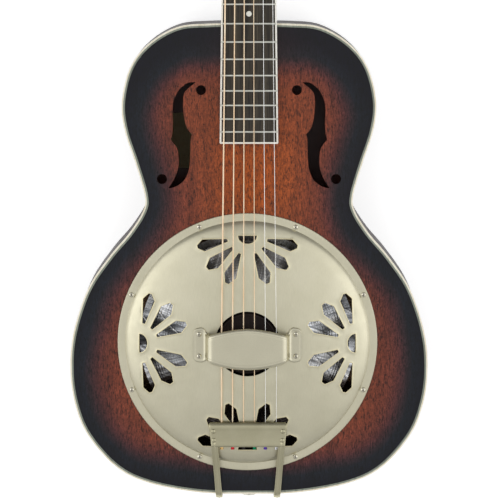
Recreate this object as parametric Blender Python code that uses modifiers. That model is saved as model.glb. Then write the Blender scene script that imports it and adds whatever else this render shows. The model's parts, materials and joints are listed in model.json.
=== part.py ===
"""Resonator guitar: wooden body, spun cone under a domed cover plate, trapeze tailpiece, geared tuners.

The guitar lies on its back. +Y runs up the neck, +X to the treble side, +Z out of the soundboard.
The origin is on the back, on the centre line, straight below the middle of the bridge line.
Lengths in the constants are millimetres; MM turns them into metres.
"""
import math

import bmesh
import bpy
from mathutils import Matrix, Vector

MM = 0.001
GAP = 0.3                      # clearance between touching pieces

# ---------------------------------------------------------------- driving dimensions
TOP_Z = 82.0                   # face of the soundboard, and so the body's depth
PLATE = 3.0                    # soundboard and back thickness
BINDING_W, BINDING_H = 3.35, 6.0
SIDE_T = 2.6
SCALE = 635.0                  # 25 inch scale
FRET_12_Y = 314.8
NUT_Y = FRET_12_Y + SCALE / 2
SADDLE_Y = FRET_12_Y - SCALE / 2
FRETS = 19
BOARD_END_Y = 197.4
BOARD_NUT_W, BOARD_END_W = 46.5, 57.4
BOARD_T = 5.5
BOARD_Z12 = 89.0               # board's face at the 12th fret
NECK_SLOPE = 0.0209            # the board's plane rises towards the bridge
FRET_H = 1.0
RES_X = -1.5                   # the resonator sits this far to the bass side of the centre line
TAIL_X = -0.9                  # and the tailpiece this far
COVER_R = 128.4
FLANGE_R = 120.8
COVER_HOLE_R = 32.2
CONE_HOLE_R = 121.3
CONE_R = 120.4
SCREW_RING_R = 124.0
FAN_R = 106.7                  # distance from the cover's centre to each fan's centre
HEAD_PITCH = math.radians(15)
HEAD_T = 15.0
HEAD_L = 186.0
NUT_SPREAD, SADDLE_SPREAD = 39.5, 54.0
STRING_R = [0.20, 0.23, 0.36, 0.50, 0.62, 0.75]     # first (treble) to sixth (bass)
SADDLE_TOP = 100.8
TUNER_U = [42.0, 84.0, 126.0]
TUNER_X = 24.0
WORM_DU = 9.1                  # worm axis beside the post, along the headstock
WORM_W = -20.9                 # worm axis below the headstock's face

# half outline of the soundboard: half width, distance from the bridge line
HALF_OUTLINE = [
    (0, 311.4), (40, 311.0), (69.0, 307.9), (95.5, 292.9), (113.3, 270.5), (121.5, 238.0),
    (118.7, 209.9), (108.6, 178.8), (99.4, 146.2), (101.2, 129.0), (115.1, 106.5), (135.2, 82.6),
    (156.0, 51.4), (170.0, 10.3), (173.7, -26.0), (169.6, -60.1), (157.2, -91.5), (130.0, -122.7),
    (98.7, -138.3), (50, -147.6), (0, -149.2),
]
# one f-hole, as distance from the centre line and from the bridge line
F_HOLE = [
    (52.1, 257.3), (59.3, 256.9), (64.8, 253.4), (69.0, 249.3), (72.6, 242.4), (74.6, 236.1),
    (75.1, 226.4), (74.7, 216.6), (75.3, 206.9), (76.8, 200.7), (73.3, 196.5), (70.5, 191.7),
    (69.4, 185.4), (69.0, 178.4), (69.9, 172.3), (72.9, 163.4), (79.3, 153.0), (75.5, 153.3),
    (69.2, 156.1), (63.0, 161.8), (59.1, 171.3), (57.9, 180.8), (57.6, 190.0), (57.4, 198.0),
    (57.2, 202.1), (56.0, 206.2), (59.3, 209.7), (61.8, 214.5), (63.5, 221.6), (64.5, 230.6),
    (64.7, 238.9), (63.5, 246.5), (59.3, 251.4), (55.1, 254.8),
]
F_DOTS = [(47.0, 249.5, 4.85), (85.6, 162.0, 4.95)]

# ---------------------------------------------------------------- scene
for old in list(bpy.data.objects):
    bpy.data.objects.remove(old, do_unlink=True)
PARTS = bpy.data.collections.new("Resonator_Guitar")
CUTTERS = bpy.data.collections.new("Cutters")
bpy.context.scene.collection.children.link(PARTS)
bpy.context.scene.collection.children.link(CUTTERS)


def material(name, rgb, rough, metal=0.0):
    m = bpy.data.materials.new(name)
    m.use_nodes = True
    b = m.node_tree.nodes["Principled BSDF"]
    b.inputs["Base Color"].default_value = (*rgb, 1)
    b.inputs["Roughness"].default_value = rough
    b.inputs["Metallic"].default_value = metal
    m.diffuse_color = (*rgb, 1)
    return m


MAT = {
    "black": material("black_binding", (0.02, 0.02, 0.02), 0.35),
    "sunburst": material("sunburst_mahogany", (0.20, 0.06, 0.03), 0.35),
    "dark": material("dark_stained_wood", (0.035, 0.022, 0.02), 0.35),
    "raw": material("raw_wood", (0.45, 0.28, 0.15), 0.7),
    "maple": material("maple", (0.75, 0.58, 0.38), 0.6),
    "binding": material("cream_binding", (0.83, 0.80, 0.66), 0.35),
    "nickel": material("satin_nickel", (0.66, 0.64, 0.54), 0.35, 1.0),
    "alu": material("spun_aluminium", (0.80, 0.81, 0.83), 0.25, 1.0),
    "steel": material("steel", (0.6, 0.6, 0.6), 0.3, 1.0),
    "bronze": material("phosphor_bronze", (0.80, 0.55, 0.35), 0.3, 1.0),
    "board": material("dark_rosewood", (0.07, 0.045, 0.03), 0.5),
    "bone": material("bone", (0.86, 0.83, 0.74), 0.4),
    "button": material("cream_plastic", (0.82, 0.77, 0.62), 0.3),
}


def keep(obj, mat):
    """Puts a finished piece in the parts collection with its material."""
    for c in list(obj.users_collection):
        c.objects.unlink(obj)
    PARTS.objects.link(obj)
    obj.data.materials.clear()
    obj.data.materials.append(MAT[mat])
    return obj


def as_mesh(obj, name):
    """The evaluated object as a welded mesh object with its normals out; the source is removed."""
    bpy.context.view_layer.update()
    graph = bpy.context.evaluated_depsgraph_get()
    mesh = bpy.data.meshes.new_from_object(obj.evaluated_get(graph))
    mesh.transform(obj.matrix_world)
    bpy.data.objects.remove(obj, do_unlink=True)
    bm = bmesh.new()
    bm.from_mesh(mesh)
    bmesh.ops.remove_doubles(bm, verts=bm.verts, dist=2e-6)
    bmesh.ops.recalc_face_normals(bm, faces=bm.faces)
    bm.to_mesh(mesh)
    bm.free()
    mesh.name = name
    made = bpy.data.objects.new(name, mesh)
    bpy.context.scene.collection.objects.link(made)
    return made


def plate(name, loops, low, high):
    """A flat outline, with holes, given thickness from low to high. Points are (x, y) in mm."""
    curve = bpy.data.curves.new(name, "CURVE")
    curve.dimensions = "2D"
    curve.fill_mode = "BOTH"
    curve.extrude = (high - low) / 2 * MM
    for loop in loops:
        s = curve.splines.new("POLY")
        s.points.add(len(loop) - 1)
        for p, (x, y) in zip(s.points, loop):
            p.co = (x * MM, y * MM, 0, 1)
        s.use_cyclic_u = True
    obj = bpy.data.objects.new(name, curve)
    obj.location.z = (low + high) / 2 * MM
    bpy.context.scene.collection.objects.link(obj)
    return as_mesh(obj, name)


def profile_x(name, loop, half):
    """A side profile of (y, z) points, extruded across X by half each way."""
    obj = plate(name, [loop], -half, half)
    obj.data.transform(Matrix(((0, 0, 1, 0), (1, 0, 0, 0), (0, 1, 0, 0), (0, 0, 0, 1))))
    return obj


def profile_y(name, loop, low, high):
    """A front profile of (x, z) points, given thickness along Y from low to high."""
    obj = plate(name, [loop], -high, -low)
    obj.data.transform(Matrix(((1, 0, 0, 0), (0, 0, -1, 0), (0, 1, 0, 0), (0, 0, 0, 1))))
    return obj


def turned(name, profile, steps=24, closed=False, axis="Z"):
    """A profile of (radius, height) points turned about Z; closed joins the last point to the first."""
    mesh = bpy.data.meshes.new(name)
    edges = [(i, i + 1) for i in range(len(profile) - 1)]
    if closed:
        edges.append((len(profile) - 1, 0))
    mesh.from_pydata([(r * MM, 0, z * MM) for r, z in profile], edges, [])
    obj = bpy.data.objects.new(name, mesh)
    bpy.context.scene.collection.objects.link(obj)
    m = obj.modifiers.new("Turn", "SCREW")
    m.axis = "Z"
    m.angle = 2 * math.pi
    m.steps = m.render_steps = steps
    m.use_merge_vertices = True
    m.merge_threshold = 1e-5
    return as_mesh(obj, name)


def box(name, low, high):
    bpy.ops.mesh.primitive_cube_add(size=1)
    obj = bpy.context.object
    obj.name = name
    size = [(h - l) * MM for l, h in zip(low, high)]
    mid = [(h + l) / 2 * MM for l, h in zip(low, high)]
    obj.data.transform(Matrix.Translation(mid) @ Matrix.Diagonal((*size, 1)))
    return obj


def rod(name, start, end, radius, sides=16):
    a, b = Vector(start) * MM, Vector(end) * MM
    bpy.ops.mesh.primitive_cylinder_add(vertices=sides, radius=radius * MM, depth=(b - a).length, end_fill_type="NGON")
    obj = bpy.context.object
    obj.name = name
    turn = (b - a).to_track_quat("Z", "Y").to_matrix().to_4x4()
    obj.data.transform(Matrix.Translation((a + b) / 2) @ turn)
    return obj


def boolean(obj, cutter, operation="DIFFERENCE"):
    m = obj.modifiers.new(operation.title(), "BOOLEAN")
    m.operation = operation
    m.solver = "EXACT"
    m.object = cutter
    for c in list(cutter.users_collection):
        c.objects.unlink(cutter)
    CUTTERS.objects.link(cutter)
    cutter.hide_render = True
    cutter.display_type = "WIRE"
    return obj


def joined(name, objects):
    """Several cutters that don't touch, as one object."""
    bm = bmesh.new()
    for o in objects:
        part = bmesh.new()
        part.from_mesh(o.data)
        part.transform(o.matrix_world)
        mesh = bpy.data.meshes.new("part")
        part.to_mesh(mesh)
        bm.from_mesh(mesh)
        part.free()
        bpy.data.objects.remove(o, do_unlink=True)
    mesh = bpy.data.meshes.new(name)
    bm.to_mesh(mesh)
    bm.free()
    made = bpy.data.objects.new(name, mesh)
    bpy.context.scene.collection.objects.link(made)
    return made


def slide(obj, dx):
    """Moves a piece and its cutters sideways together."""
    for o in [obj] + [m.object for m in obj.modifiers if m.type == "BOOLEAN"]:
        o.location.x += dx * MM
    return obj


def reshape(obj, rule):
    for v in obj.data.vertices:
        v.co = Vector(rule(v.co / MM)) * MM
    return obj


def shade(obj, angle=35):
    obj.data.shade_smooth()
    obj.data.set_sharp_from_angle(angle=math.radians(angle))
    return obj


# ---------------------------------------------------------------- outlines
def smooth_half(points, cuts):
    """Catmull-Rom through the stations, which mirror at both ends on the centre line."""
    pts = [Vector(p) for p in points]
    ghost0 = Vector((-pts[1].x, pts[1].y))
    ghost1 = Vector((-pts[-2].x, pts[-2].y))
    pts = [ghost0, *pts, ghost1]
    out = []
    for i in range(1, len(pts) - 2):
        p0, p1, p2, p3 = pts[i - 1:i + 3]
        for k in range(cuts):
            t = k / cuts
            out.append(0.5 * ((2 * p1) + (p2 - p0) * t + (2 * p0 - 5 * p1 + 4 * p2 - p3) * t * t + (3 * p1 - p0 - 3 * p2 + p3) * t ** 3))
    out.append(pts[-2])
    return out


HALF = smooth_half(HALF_OUTLINE, 2)


def half_at(offset):
    """The treble half of the outline, moved out by offset, from the neck end to the tail end."""
    out = []
    for i, p in enumerate(HALF):
        a = HALF[i - 1] if i else Vector((-HALF[1].x, HALF[1].y))
        b = HALF[i + 1] if i < len(HALF) - 1 else Vector((-HALF[-2].x, HALF[-2].y))
        t = (b - a).normalized()
        n = Vector((-t.y, t.x))
        q = p + n * offset
        if i in (0, len(HALF) - 1):
            q.x = 0
        out.append((q.x, q.y))
    return out


def outline(offset):
    half = half_at(offset)
    return half + [(-x, y) for x, y in half[-2:0:-1]]


def circle(x, y, r, n=24):
    return [(x + r * math.cos(2 * math.pi * i / n), y + r * math.sin(2 * math.pi * i / n)) for i in range(n)]


def side_half(sign, outer, inner):
    a, b = half_at(outer), half_at(inner)
    a[0], a[-1], b[0], b[-1] = (0.15, a[0][1]), (0.15, a[-1][1]), (0.15, b[0][1]), (0.15, b[-1][1])
    return [(sign * x, y) for x, y in a + b[::-1]]


EDGE = BINDING_W               # outer face of the sides, from the soundboard's own edge

# ---------------------------------------------------------------- body
screw_angles = [math.radians(22.5 + 45 * i) for i in range(8)]
screw_xy = [(SCREW_RING_R * math.cos(a), SCREW_RING_R * math.sin(a)) for a in screw_angles]

loops = [outline(0), circle(RES_X, 0, CONE_HOLE_R, 40)]
for sign in (-1, 1):
    loops.append([(sign * x, y) for x, y in F_HOLE])
    for x, y, r in F_DOTS:
        loops.append(circle(sign * x, y, r, 10))
for x, y in screw_xy:
    loops.append(circle(x + RES_X, y, 1.3, 6))
keep(plate("soundboard", loops, TOP_Z - PLATE, TOP_Z), "sunburst")
keep(plate("back_plate", [outline(0)], 0, PLATE), "dark")
keep(plate("top_binding", [outline(EDGE), outline(GAP)], TOP_Z - BINDING_H, TOP_Z), "binding")
keep(plate("back_binding", [outline(EDGE), outline(GAP)], 0, BINDING_H), "black")
LINING_OUT, LINING_IN = EDGE - SIDE_T - GAP - 0.8, EDGE - SIDE_T - GAP - 6.0
keep(plate("top_lining", [outline(LINING_OUT), outline(LINING_IN)[::2]], 66.0, TOP_Z - PLATE - GAP), "raw")
keep(plate("back_lining", [outline(LINING_OUT), outline(LINING_IN)[::2]], PLATE + GAP, 16.0), "raw")

STRAP_Z = 22.0
for name, sign in (("side_bass", -1), ("side_treble", 1)):
    side = keep(plate(name, [side_half(sign, EDGE, EDGE - SIDE_T)], BINDING_H + GAP, TOP_Z - BINDING_H - GAP), "dark")
    boolean(side, rod("cut_strap_" + name, (0, -160, STRAP_Z), (0, -140, STRAP_Z), 2.8, 12))
    shade(side)

NECK_END = HALF_OUTLINE[0][1]
TAIL_END = HALF_OUTLINE[-1][1]


def block(name, inner_y, face_y, half):
    """An end block, notched at its top and bottom for the linings."""
    d = 1 if face_y > inner_y else -1
    step = face_y - d * 7.0
    lo, hi, l1, h1 = PLATE + GAP, TOP_Z - PLATE - GAP, 16.0 + GAP, 66.0 - GAP
    loop = [(inner_y, lo), (step, lo), (step, l1), (face_y, l1), (face_y, h1), (step, h1), (step, hi), (inner_y, hi)]
    return profile_x(name, loop, half)


neck_block = keep(block("neck_block", 256.0, NECK_END + EDGE - SIDE_T - 1.6, 33.0), "raw")
tail_block = keep(block("tail_block", -134.0, TAIL_END - EDGE + SIDE_T + 1.6, 33.0), "raw")
boolean(tail_block, rod("cut_strap_block", (0, -160, STRAP_Z), (0, -137.6, STRAP_Z), 2.8, 12))

slide(keep(shade(turned("cone_well", [(112, 50), (112, 57.6), (121.6, 57.6), (121.6, 78.7), (128, 78.7), (128, 50)], 36, closed=True)), "raw"), RES_X)

# ---------------------------------------------------------------- cone, biscuit and saddle
cone_line = [(1.9, 84.3), (31, 84.3), (33.5, 83.2), (101, 60.9), (107, 63.0), (112, 60.0), (CONE_R, 59.0)]
cone_low = [(r, z - 1.0) for r, z in cone_line]
slide(keep(shade(turned("resonator_cone", cone_line + cone_low[::-1], 36, closed=True)), "alu"), RES_X)
slide(keep(shade(turned("biscuit", [(1.9, 84.6), (30.2, 84.6), (30.2, 91.8), (29.4, 92.6), (1.9, 92.6)], 28, closed=True)), "maple"), RES_X)
slide(keep(shade(turned("biscuit_screw", [(0, 91.5), (1.6, 91.5), (1.6, 82.9), (3.6, 82.9), (3.2, 81.2), (0, 80.8)], 8)), "steel"), RES_X)

saddle = box("saddle", (-28.2, -1.5, 92.9), (28.2, 1.5, SADDLE_TOP - GAP))
reshape(saddle, lambda p: (p.x, p.y + SADDLE_Y + 0.05 * p.x, p.z))
keep(saddle, "bone")

# ---------------------------------------------------------------- cover plate
dome = [(COVER_HOLE_R, 94.8), (52, 94.3), (107, 88.8), (116, 86.2), (FLANGE_R, 83.4), (COVER_R, 83.4)]
under = [(r, z - 1.0) for r, z in dome]
under[-1] = (COVER_R, TOP_Z + GAP)
under[-2] = (FLANGE_R - 0.7, TOP_Z + GAP)
cover = keep(shade(turned("cover_plate", dome + under[::-1], 40, closed=True)), "nickel")


def petal(angle):
    """One petal of a fan whose centre is the origin and whose middle points along +X."""
    c, s = math.cos(angle), math.sin(angle)
    inner, wide, half, tip, blunt = (20.0, 44.0, 5.85, 50.3, 1.4) if abs(angle) > 1.2 else (18.8, 42.3, 6.4, 50.7, 1.8)
    shape = [(inner, -1.3), (wide, -half), (tip, -blunt), (tip, blunt), (wide, half), (inner, 1.3)]
    return [(u * c - v * s, u * s + v * c) for u, v in shape]


def fan_shapes():
    moon = [(0, -9.3)] + [(7.8 * math.cos(a), 9.3 * math.sin(a)) for a in (math.radians(t) for t in (-55, -20, 20, 55))] + [(0, 9.3)]
    return [moon] + [petal(math.radians(a)) for a in (-77.5, -51, -23.5, 23.5, 51, 77.5)]


cut = []
for k in range(4):
    turn = math.radians(90 * k)
    c, s = math.cos(turn), math.sin(turn)
    for j, shape in enumerate(fan_shapes()):
        pts = [((-FAN_R + x), y) for x, y in shape]
        pts = [(x * c - y * s, x * s + y * c) for x, y in pts]
        cut.append(plate(f"cut_fan_{k}_{j}", [pts], 80, 100))
REST_SCREWS = [(sx * 47.7, sy * 10.9 - 1.0) for sx in (-1, 1) for sy in (-1, 1)]
for i, (x, y) in enumerate(screw_xy):
    cut.append(rod(f"cut_cover_{i}", (x, y, 80), (x, y, 86), 1.3, 6))
for i, (x, y) in enumerate(REST_SCREWS):
    cut.append(rod(f"cut_rest_{i}", (x, y, 88), (x, y, 99), 1.3, 6))
boolean(cover, joined("cover_cuts", cut))
slide(cover, RES_X)


def screw(name, x, y, seat, length):
    """A small dome-headed screw standing on a seat."""
    s = turned(name, [(0, 1.7), (1.5, 1.4), (2.5, 0), (0.9, 0), (0.9, -length), (0, -length)], 8)
    s.location = (x * MM, y * MM, (seat + GAP) * MM)
    return keep(shade(s), "nickel")


for i, (x, y) in enumerate(screw_xy):
    screw(f"cover_screw_{i + 1}", x + RES_X, y, 83.4, 4.0)

# ---------------------------------------------------------------- hand rest
REST_Y = -1.0
arch = [(-55, 95.1), (-43.2, 95.1), (-41.8, 95.8), (-41.0, 97.5), (-39.6, 108.6), (-38.2, 111.6), (-35.2, 112.9), (-20, 113.4), (0, 113.6)]
arch = arch + [(-x, z) for x, z in arch[-2::-1]]
arch_top = [(-55, 96.5), (-44.4, 96.5), (-42.9, 97.2), (-42.4, 98.3), (-41.1, 109.2), (-39.0, 113.0), (-35.8, 114.4), (-20, 114.9), (0, 115.1)]
arch_top = arch_top + [(-x, z) for x, z in arch_top[-2::-1]]
rest = profile_y("hand_rest", arch + arch_top[::-1], -30, 30)
foot_edge = [(53.6, 11), (52.6, 14.6), (49.6, 16.9), (43.5, 16.9), (42.4, 15.0)]
neck_edge = foot_edge + [(41.6, 11.0), (39.5, 11.0), (30, 14.0), (20, 16.2), (10, 17.8), (0, 18.6)]
tail_edge = foot_edge + [(41.6, 15.2), (39.5, 15.2), (30, 18.2), (20, 20.5), (10, 22.0), (0, 22.5)]
rest_form = [(x, y) for x, y in neck_edge] + [(-x, y) for x, y in neck_edge[-2::-1]]
rest_form += [(-x, -y) for x, y in tail_edge] + [(x, -y) for x, y in tail_edge[-2::-1]]
rest_form = [(x, y + REST_Y) for x, y in rest_form]
boolean(rest, plate("rest_form", [rest_form], 90, 120), "INTERSECT")
boolean(rest, joined("rest_holes", [rod(f"cut_r_{i}", (x, y, 93), (x, y, 99), 1.3, 6) for i, (x, y) in enumerate(REST_SCREWS)]))
slide(keep(shade(rest), "nickel"), RES_X)
for i, (x, y) in enumerate(REST_SCREWS):
    screw(f"hand_rest_screw_{i + 1}", x + RES_X, y, 96.5, 4.2)

# ---------------------------------------------------------------- tailpiece
HINGE_Y, HINGE_Z = -156.9, 38.0
outer = [(-77.6, 95.9), (-79.2, 97.6), (-82.0, 98.6), (-101.5, 98.6), (-148.0, 86.6), (-152.4, 85.0), (-155.5, 82.2), (-156.5, 78.8), (-156.5, HINGE_Z)]
inner = [(-78.9, 95.2), (-80.2, 96.5), (-82.2, 97.1), (-101.3, 97.1), (-147.6, 85.1), (-151.6, 83.7), (-154.1, 81.3), (-155.0, 78.4), (-155.0, HINGE_Z)]
frame = profile_x("tailpiece_frame", outer + inner[::-1], 45)
half_form = [(37.2, -77.0), (38.9, -79.5), (36.5, -101.4), (31.8, -159.0), (25.2, -159.0), (29.6, -104.0), (27.6, -101.8)]
frame_form = half_form + [(-x, y) for x, y in half_form[::-1]]
boolean(frame, plate("frame_form", [frame_form], 30, 105), "INTERSECT")
for name, sign in (("cut_knuckle_t", 1), ("cut_knuckle_b", -1)):
    boolean(frame, rod(name, (sign * 25.9, HINGE_Y, HINGE_Z), (sign * 31.9, HINGE_Y, HINGE_Z), 3.0, 14), "UNION")
boolean(frame, rod("cut_frame_pin", (-45, HINGE_Y, HINGE_Z), (45, HINGE_Y, HINGE_Z), 1.8, 12))
slide(keep(shade(frame), "nickel"), TAIL_X)

BALL_Y, BALL_Z = -103.6, 92.0
retainer = profile_x("string_retainer", [(-84, 95.3), (-84, 96.8), (-100.6, 96.8), (-100.6, 90.2), (-99.3, 90.2), (-99.3, 95.3)], 34)


def string_x(i, y):
    """Side position of string i (0 is the treble string) at a place along the guitar."""
    share = (y - SADDLE_Y) / SCALE
    spread = SADDLE_SPREAD + (NUT_SPREAD - SADDLE_SPREAD) * max(0.0, min(1.0, share))
    return spread * (0.5 - i / 5)


boolean(retainer, joined("retainer_holes", [rod(f"cut_s_{i}", (string_x(i, -100), -104, BALL_Z), (string_x(i, -100), -97, BALL_Z), 1.15, 8) for i in range(6)]))
keep(retainer, "nickel")

hinge_loop = [(-33, 9), (33, 9), (33, 33.5), (23.8, 33.5), (23.8, 36.4), (-23.8, 36.4), (-23.8, 33.5), (-33, 33.5)]
hinge = profile_y("tailpiece_hinge_plate", hinge_loop, -154.5, -153.0)
boolean(hinge, rod("cut_barrel", (-23.8, HINGE_Y, HINGE_Z), (23.8, HINGE_Y, HINGE_Z), 3.0, 14), "UNION")
boolean(hinge, rod("cut_hinge_pin", (-40, HINGE_Y, HINGE_Z), (40, HINGE_Y, HINGE_Z), 1.8, 12))
boolean(hinge, rod("cut_hinge_strap", (0, -160, STRAP_Z), (0, -151, STRAP_Z), 2.8, 12))
keep(hinge, "nickel")
keep(shade(rod("tailpiece_hinge_pin", (-33, HINGE_Y, HINGE_Z), (33, HINGE_Y, HINGE_Z), 1.5, 12)), "nickel")
strap = turned("strap_button", [(0, 10.0), (5.6, 10.0), (7.0, 9.0), (7.0, 7.8), (4.6, 5.6), (4.2, 3.4), (5.6, 0), (2.4, 0), (2.4, -14.5), (0, -15.6)], 12)
strap.data.transform(Matrix.Rotation(math.radians(90), 4, "X"))
strap.location = (0, -154.8 * MM, STRAP_Z * MM)
keep(shade(strap), "nickel")


# ---------------------------------------------------------------- neck
def board_z(y):
    return BOARD_Z12 + (FRET_12_Y - y) * NECK_SLOPE


def board_half(y):
    share = (NUT_Y - y) / (NUT_Y - BOARD_END_Y)
    return (BOARD_NUT_W + (BOARD_END_W - BOARD_NUT_W) * share) / 2


BIND = 1.7
line = [(BOARD_END_Y + BIND + 0.2, 0.0), (NUT_Y, 0.0), (NUT_Y, BOARD_T)]
for n in range(1, FRETS + 1):
    y = NUT_Y - SCALE * (1 - 2 ** (-n / 12))
    line += [(y + 1.2, BOARD_T), (y + 0.6, BOARD_T + FRET_H), (y - 0.6, BOARD_T + FRET_H), (y - 1.2, BOARD_T)]
line.append((BOARD_END_Y + BIND + 0.2, BOARD_T))
board = profile_x("fingerboard", line, 1.0)
reshape(board, lambda p: (p.x * (board_half(p.y) - BIND - 0.2), p.y, p.z + board_z(p.y) - BOARD_T))
keep(board, "board")

strip = [(board_half(NUT_Y), NUT_Y), (board_half(BOARD_END_Y), BOARD_END_Y)]
inner_strip = [(board_half(NUT_Y) - BIND, NUT_Y), (board_half(BOARD_END_Y) - BIND, BOARD_END_Y + BIND)]
loop = strip + [(-x, y) for x, y in strip[::-1]] + [(-x, y) for x, y in inner_strip] + inner_strip[::-1]
edge = plate("fingerboard_binding", [loop], 0, BOARD_T)
reshape(edge, lambda p: (p.x, p.y, p.z + board_z(p.y) - BOARD_T))
keep(edge, "binding")

riser = box("fingerboard_riser", (-1, BOARD_END_Y + 1.5, 0), (1, NECK_END - 1.0, 1))
reshape(riser, lambda p: (p.x * (board_half(p.y) - 1.2), p.y, TOP_Z + GAP + p.z * (board_z(p.y) - BOARD_T - GAP - TOP_Z - GAP)))
keep(riser, "dark")

HEEL_Y = NECK_END + EDGE + GAP
stations = [
    (HEEL_Y, 73.0, 1.30), (321, 66.0, 1.30), (327, 54.0, 1.20), (335, 41.0, 1.05), (346, 30.0, 0.95),
    (362, 23.8, 0.86), (385, 21.6, 0.82), (NUT_Y + 4.6, 19.4, 0.82),
]
bm = bmesh.new()
rings = []
for y, depth, power in stations:
    top = board_z(min(y, NUT_Y)) - BOARD_T - GAP
    w = board_half(min(y, NUT_Y))
    ring = []
    for k in range(11):
        t = math.pi * k / 10
        c, s = math.cos(t), math.sin(t)
        x = math.copysign(abs(c) ** power, c) * w if abs(c) > 1e-9 else 0.0
        ring.append(bm.verts.new(Vector((x, y, top - depth * s ** 0.9 if s > 1e-9 else top)) * MM))
    rings.append(ring)
for a, b in zip(rings, rings[1:]):
    for k in range(11):
        j = (k + 1) % 11
        bm.faces.new((a[k], a[j], b[j], b[k]))
bm.faces.new(rings[0])
bm.faces.new(rings[-1][::-1])
bmesh.ops.recalc_face_normals(bm, faces=bm.faces)
mesh = bpy.data.meshes.new("neck")
bm.to_mesh(mesh)
bm.free()
neck = bpy.data.objects.new("neck", mesh)
bpy.context.scene.collection.objects.link(neck)

HEAD_ORIGIN = Vector((0, NUT_Y + 2.0, board_z(NUT_Y) - BOARD_T - GAP - 0.4))
HEAD = Matrix.Translation(HEAD_ORIGIN * MM) @ Matrix.Rotation(-HEAD_PITCH, 4, "X")


def head_point(x, u, w):
    """A point of the headstock's own frame: across, along from the nut, and above its face."""
    return (HEAD @ (Vector((x, u, w)) * MM)) / MM


head_half = [(23.2, 0), (23.6, 5), (27.5, 14), (32.6, 24), (35.0, 34), (36.0, 60), (37.2, 110), (38.6, 158), (37.0, 172), (30.0, 180), (16.0, 184.5), (0, HEAD_L)]
head_loop = head_half + [(-x, y) for x, y in head_half[-2::-1]]
head = plate("cut_head", [head_loop], -HEAD_T, 0)
head.data.transform(HEAD)
boolean(neck, head, "UNION")
holes = []
for sx in (-1, 1):
    for u in TUNER_U:
        holes.append(rod("cut_post", head_point(sx * TUNER_X, u, 5), head_point(sx * TUNER_X, u, -25), 3.5, 8))
boolean(neck, joined("neck_holes", holes))
channel = box("cut_channel", (-3.2, 330, -9.0), (3.2, 620, 3.0))
reshape(channel, lambda p: (p.x, p.y, p.z + board_z(p.y) - BOARD_T - GAP))
boolean(neck, channel)
keep(shade(neck, 50), "dark")
rod_a, rod_b = Vector((0, 331, board_z(331) - BOARD_T - GAP - 4.5)), Vector((0, 619, board_z(619) - BOARD_T - GAP - 4.5))
keep(shade(rod("truss_rod", rod_a, rod_b, 2.8, 12)), "steel")

nut_top = board_z(NUT_Y) + FRET_H + 0.5 - GAP
nut = box("nut", (-23.1, NUT_Y + 0.3, board_z(NUT_Y) - BOARD_T), (23.1, NUT_Y + 4.3, nut_top))
reshape(nut, lambda p: (p.x, p.y, p.z - (1.0 if p.y > NUT_Y + 2 and p.z > board_z(NUT_Y) - 2 else 0)))
keep(nut, "bone")

# ---------------------------------------------------------------- tuners
for name, sign in (("tuner_plate_bass", -1), ("tuner_plate_treble", 1)):
    p = box(name, (TUNER_X * sign - 7.5, TUNER_U[0] - 9, -HEAD_T - GAP - 1.2), (TUNER_X * sign + 7.5, TUNER_U[2] + 16, -HEAD_T - GAP))
    bores = []
    for u in TUNER_U:
        for dx in (-8.2, 8.2):
            x = sign * (TUNER_X + dx * 0.82)
            ear = box("cut_ear", (x - 0.6, u + WORM_DU - 3.4, -25.0), (x + 0.6, u + WORM_DU + 3.4, -HEAD_T - GAP - 0.6))
            boolean(p, ear, "UNION")
        bores.append(rod("cut_shaft", (sign * 10, u + WORM_DU, WORM_W), (sign * 50, u + WORM_DU, WORM_W), 1.9, 8))
        bores.append(rod("cut_post_hole", (sign * TUNER_X, u, -22), (sign * TUNER_X, u, -10), 3.5, 8))
    boolean(p, joined("plate_bores_" + name, bores))
    p = as_mesh(p, name)
    p.data.transform(HEAD)
    keep(p, "nickel")

# post with its gear wheel, about Z, standing at the headstock's face
post = turned("post_form", [(0, 15.5), (3.1, 15.0), (3.1, 12.2), (2.5, 9.8), (3.1, 7.2), (3.1, -20.8), (0, -20.8)], 8)
teeth = 14
wheel = []
for k in range(teeth * 2):
    a = math.pi * k / teeth
    r = 6.0 if k % 2 == 0 else 4.9
    wheel.append((r * math.cos(a), r * math.sin(a)))
gear = plate("gear_form", [wheel], -22.8, -18.8)
boolean(post, gear, "UNION")
post = as_mesh(post, "post_form")
post_mesh = shade(post).data
post_mesh.materials.append(MAT["nickel"])
bpy.data.objects.remove(post)

# worm, shaft and button about X; x = 0 at the post's middle, so the button is outside the headstock
key = turned("key_form", [(0, -9.6), (1.6, -9.6), (1.6, -5.2), (2.6, -5.0), (2.6, 5.0), (1.6, 5.2), (1.6, 25.5), (0, 25.5)], 8)
key.data.transform(Matrix.Rotation(math.radians(90), 4, "Y"))
bpy.ops.mesh.primitive_uv_sphere_add(segments=12, ring_count=7, radius=1)
button = bpy.context.object
button.data.transform(Matrix.Translation(Vector((31.0, 0, 0)) * MM) @ Matrix.Diagonal((7.6 * MM, 8.8 * MM, 4.4 * MM, 1)))
boolean(key, button, "UNION")
key = as_mesh(key, "key_form")
key_mesh = shade(key).data
key_mesh.materials.append(MAT["button"])
bpy.data.objects.remove(key)

# strings 1 to 3 use the treble side and 4 to 6 the bass side; 1 and 6 take the posts nearest the nut
for i in range(6):
    sign = 1 if i < 3 else -1
    u = TUNER_U[i] if i < 3 else TUNER_U[5 - i]
    p = bpy.data.objects.new(f"tuner_post_{i + 1}", post_mesh)
    p.matrix_world = HEAD @ Matrix.Translation(Vector((sign * TUNER_X, u, 0)) * MM)
    PARTS.objects.link(p)
    k = bpy.data.objects.new(f"tuner_key_{i + 1}", key_mesh)
    turn = Matrix.Identity(4) if sign > 0 else Matrix.Rotation(math.pi, 4, "Z")
    k.matrix_world = HEAD @ Matrix.Translation(Vector((sign * TUNER_X, u + WORM_DU, WORM_W)) * MM) @ turn
    PARTS.objects.link(k)

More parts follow.
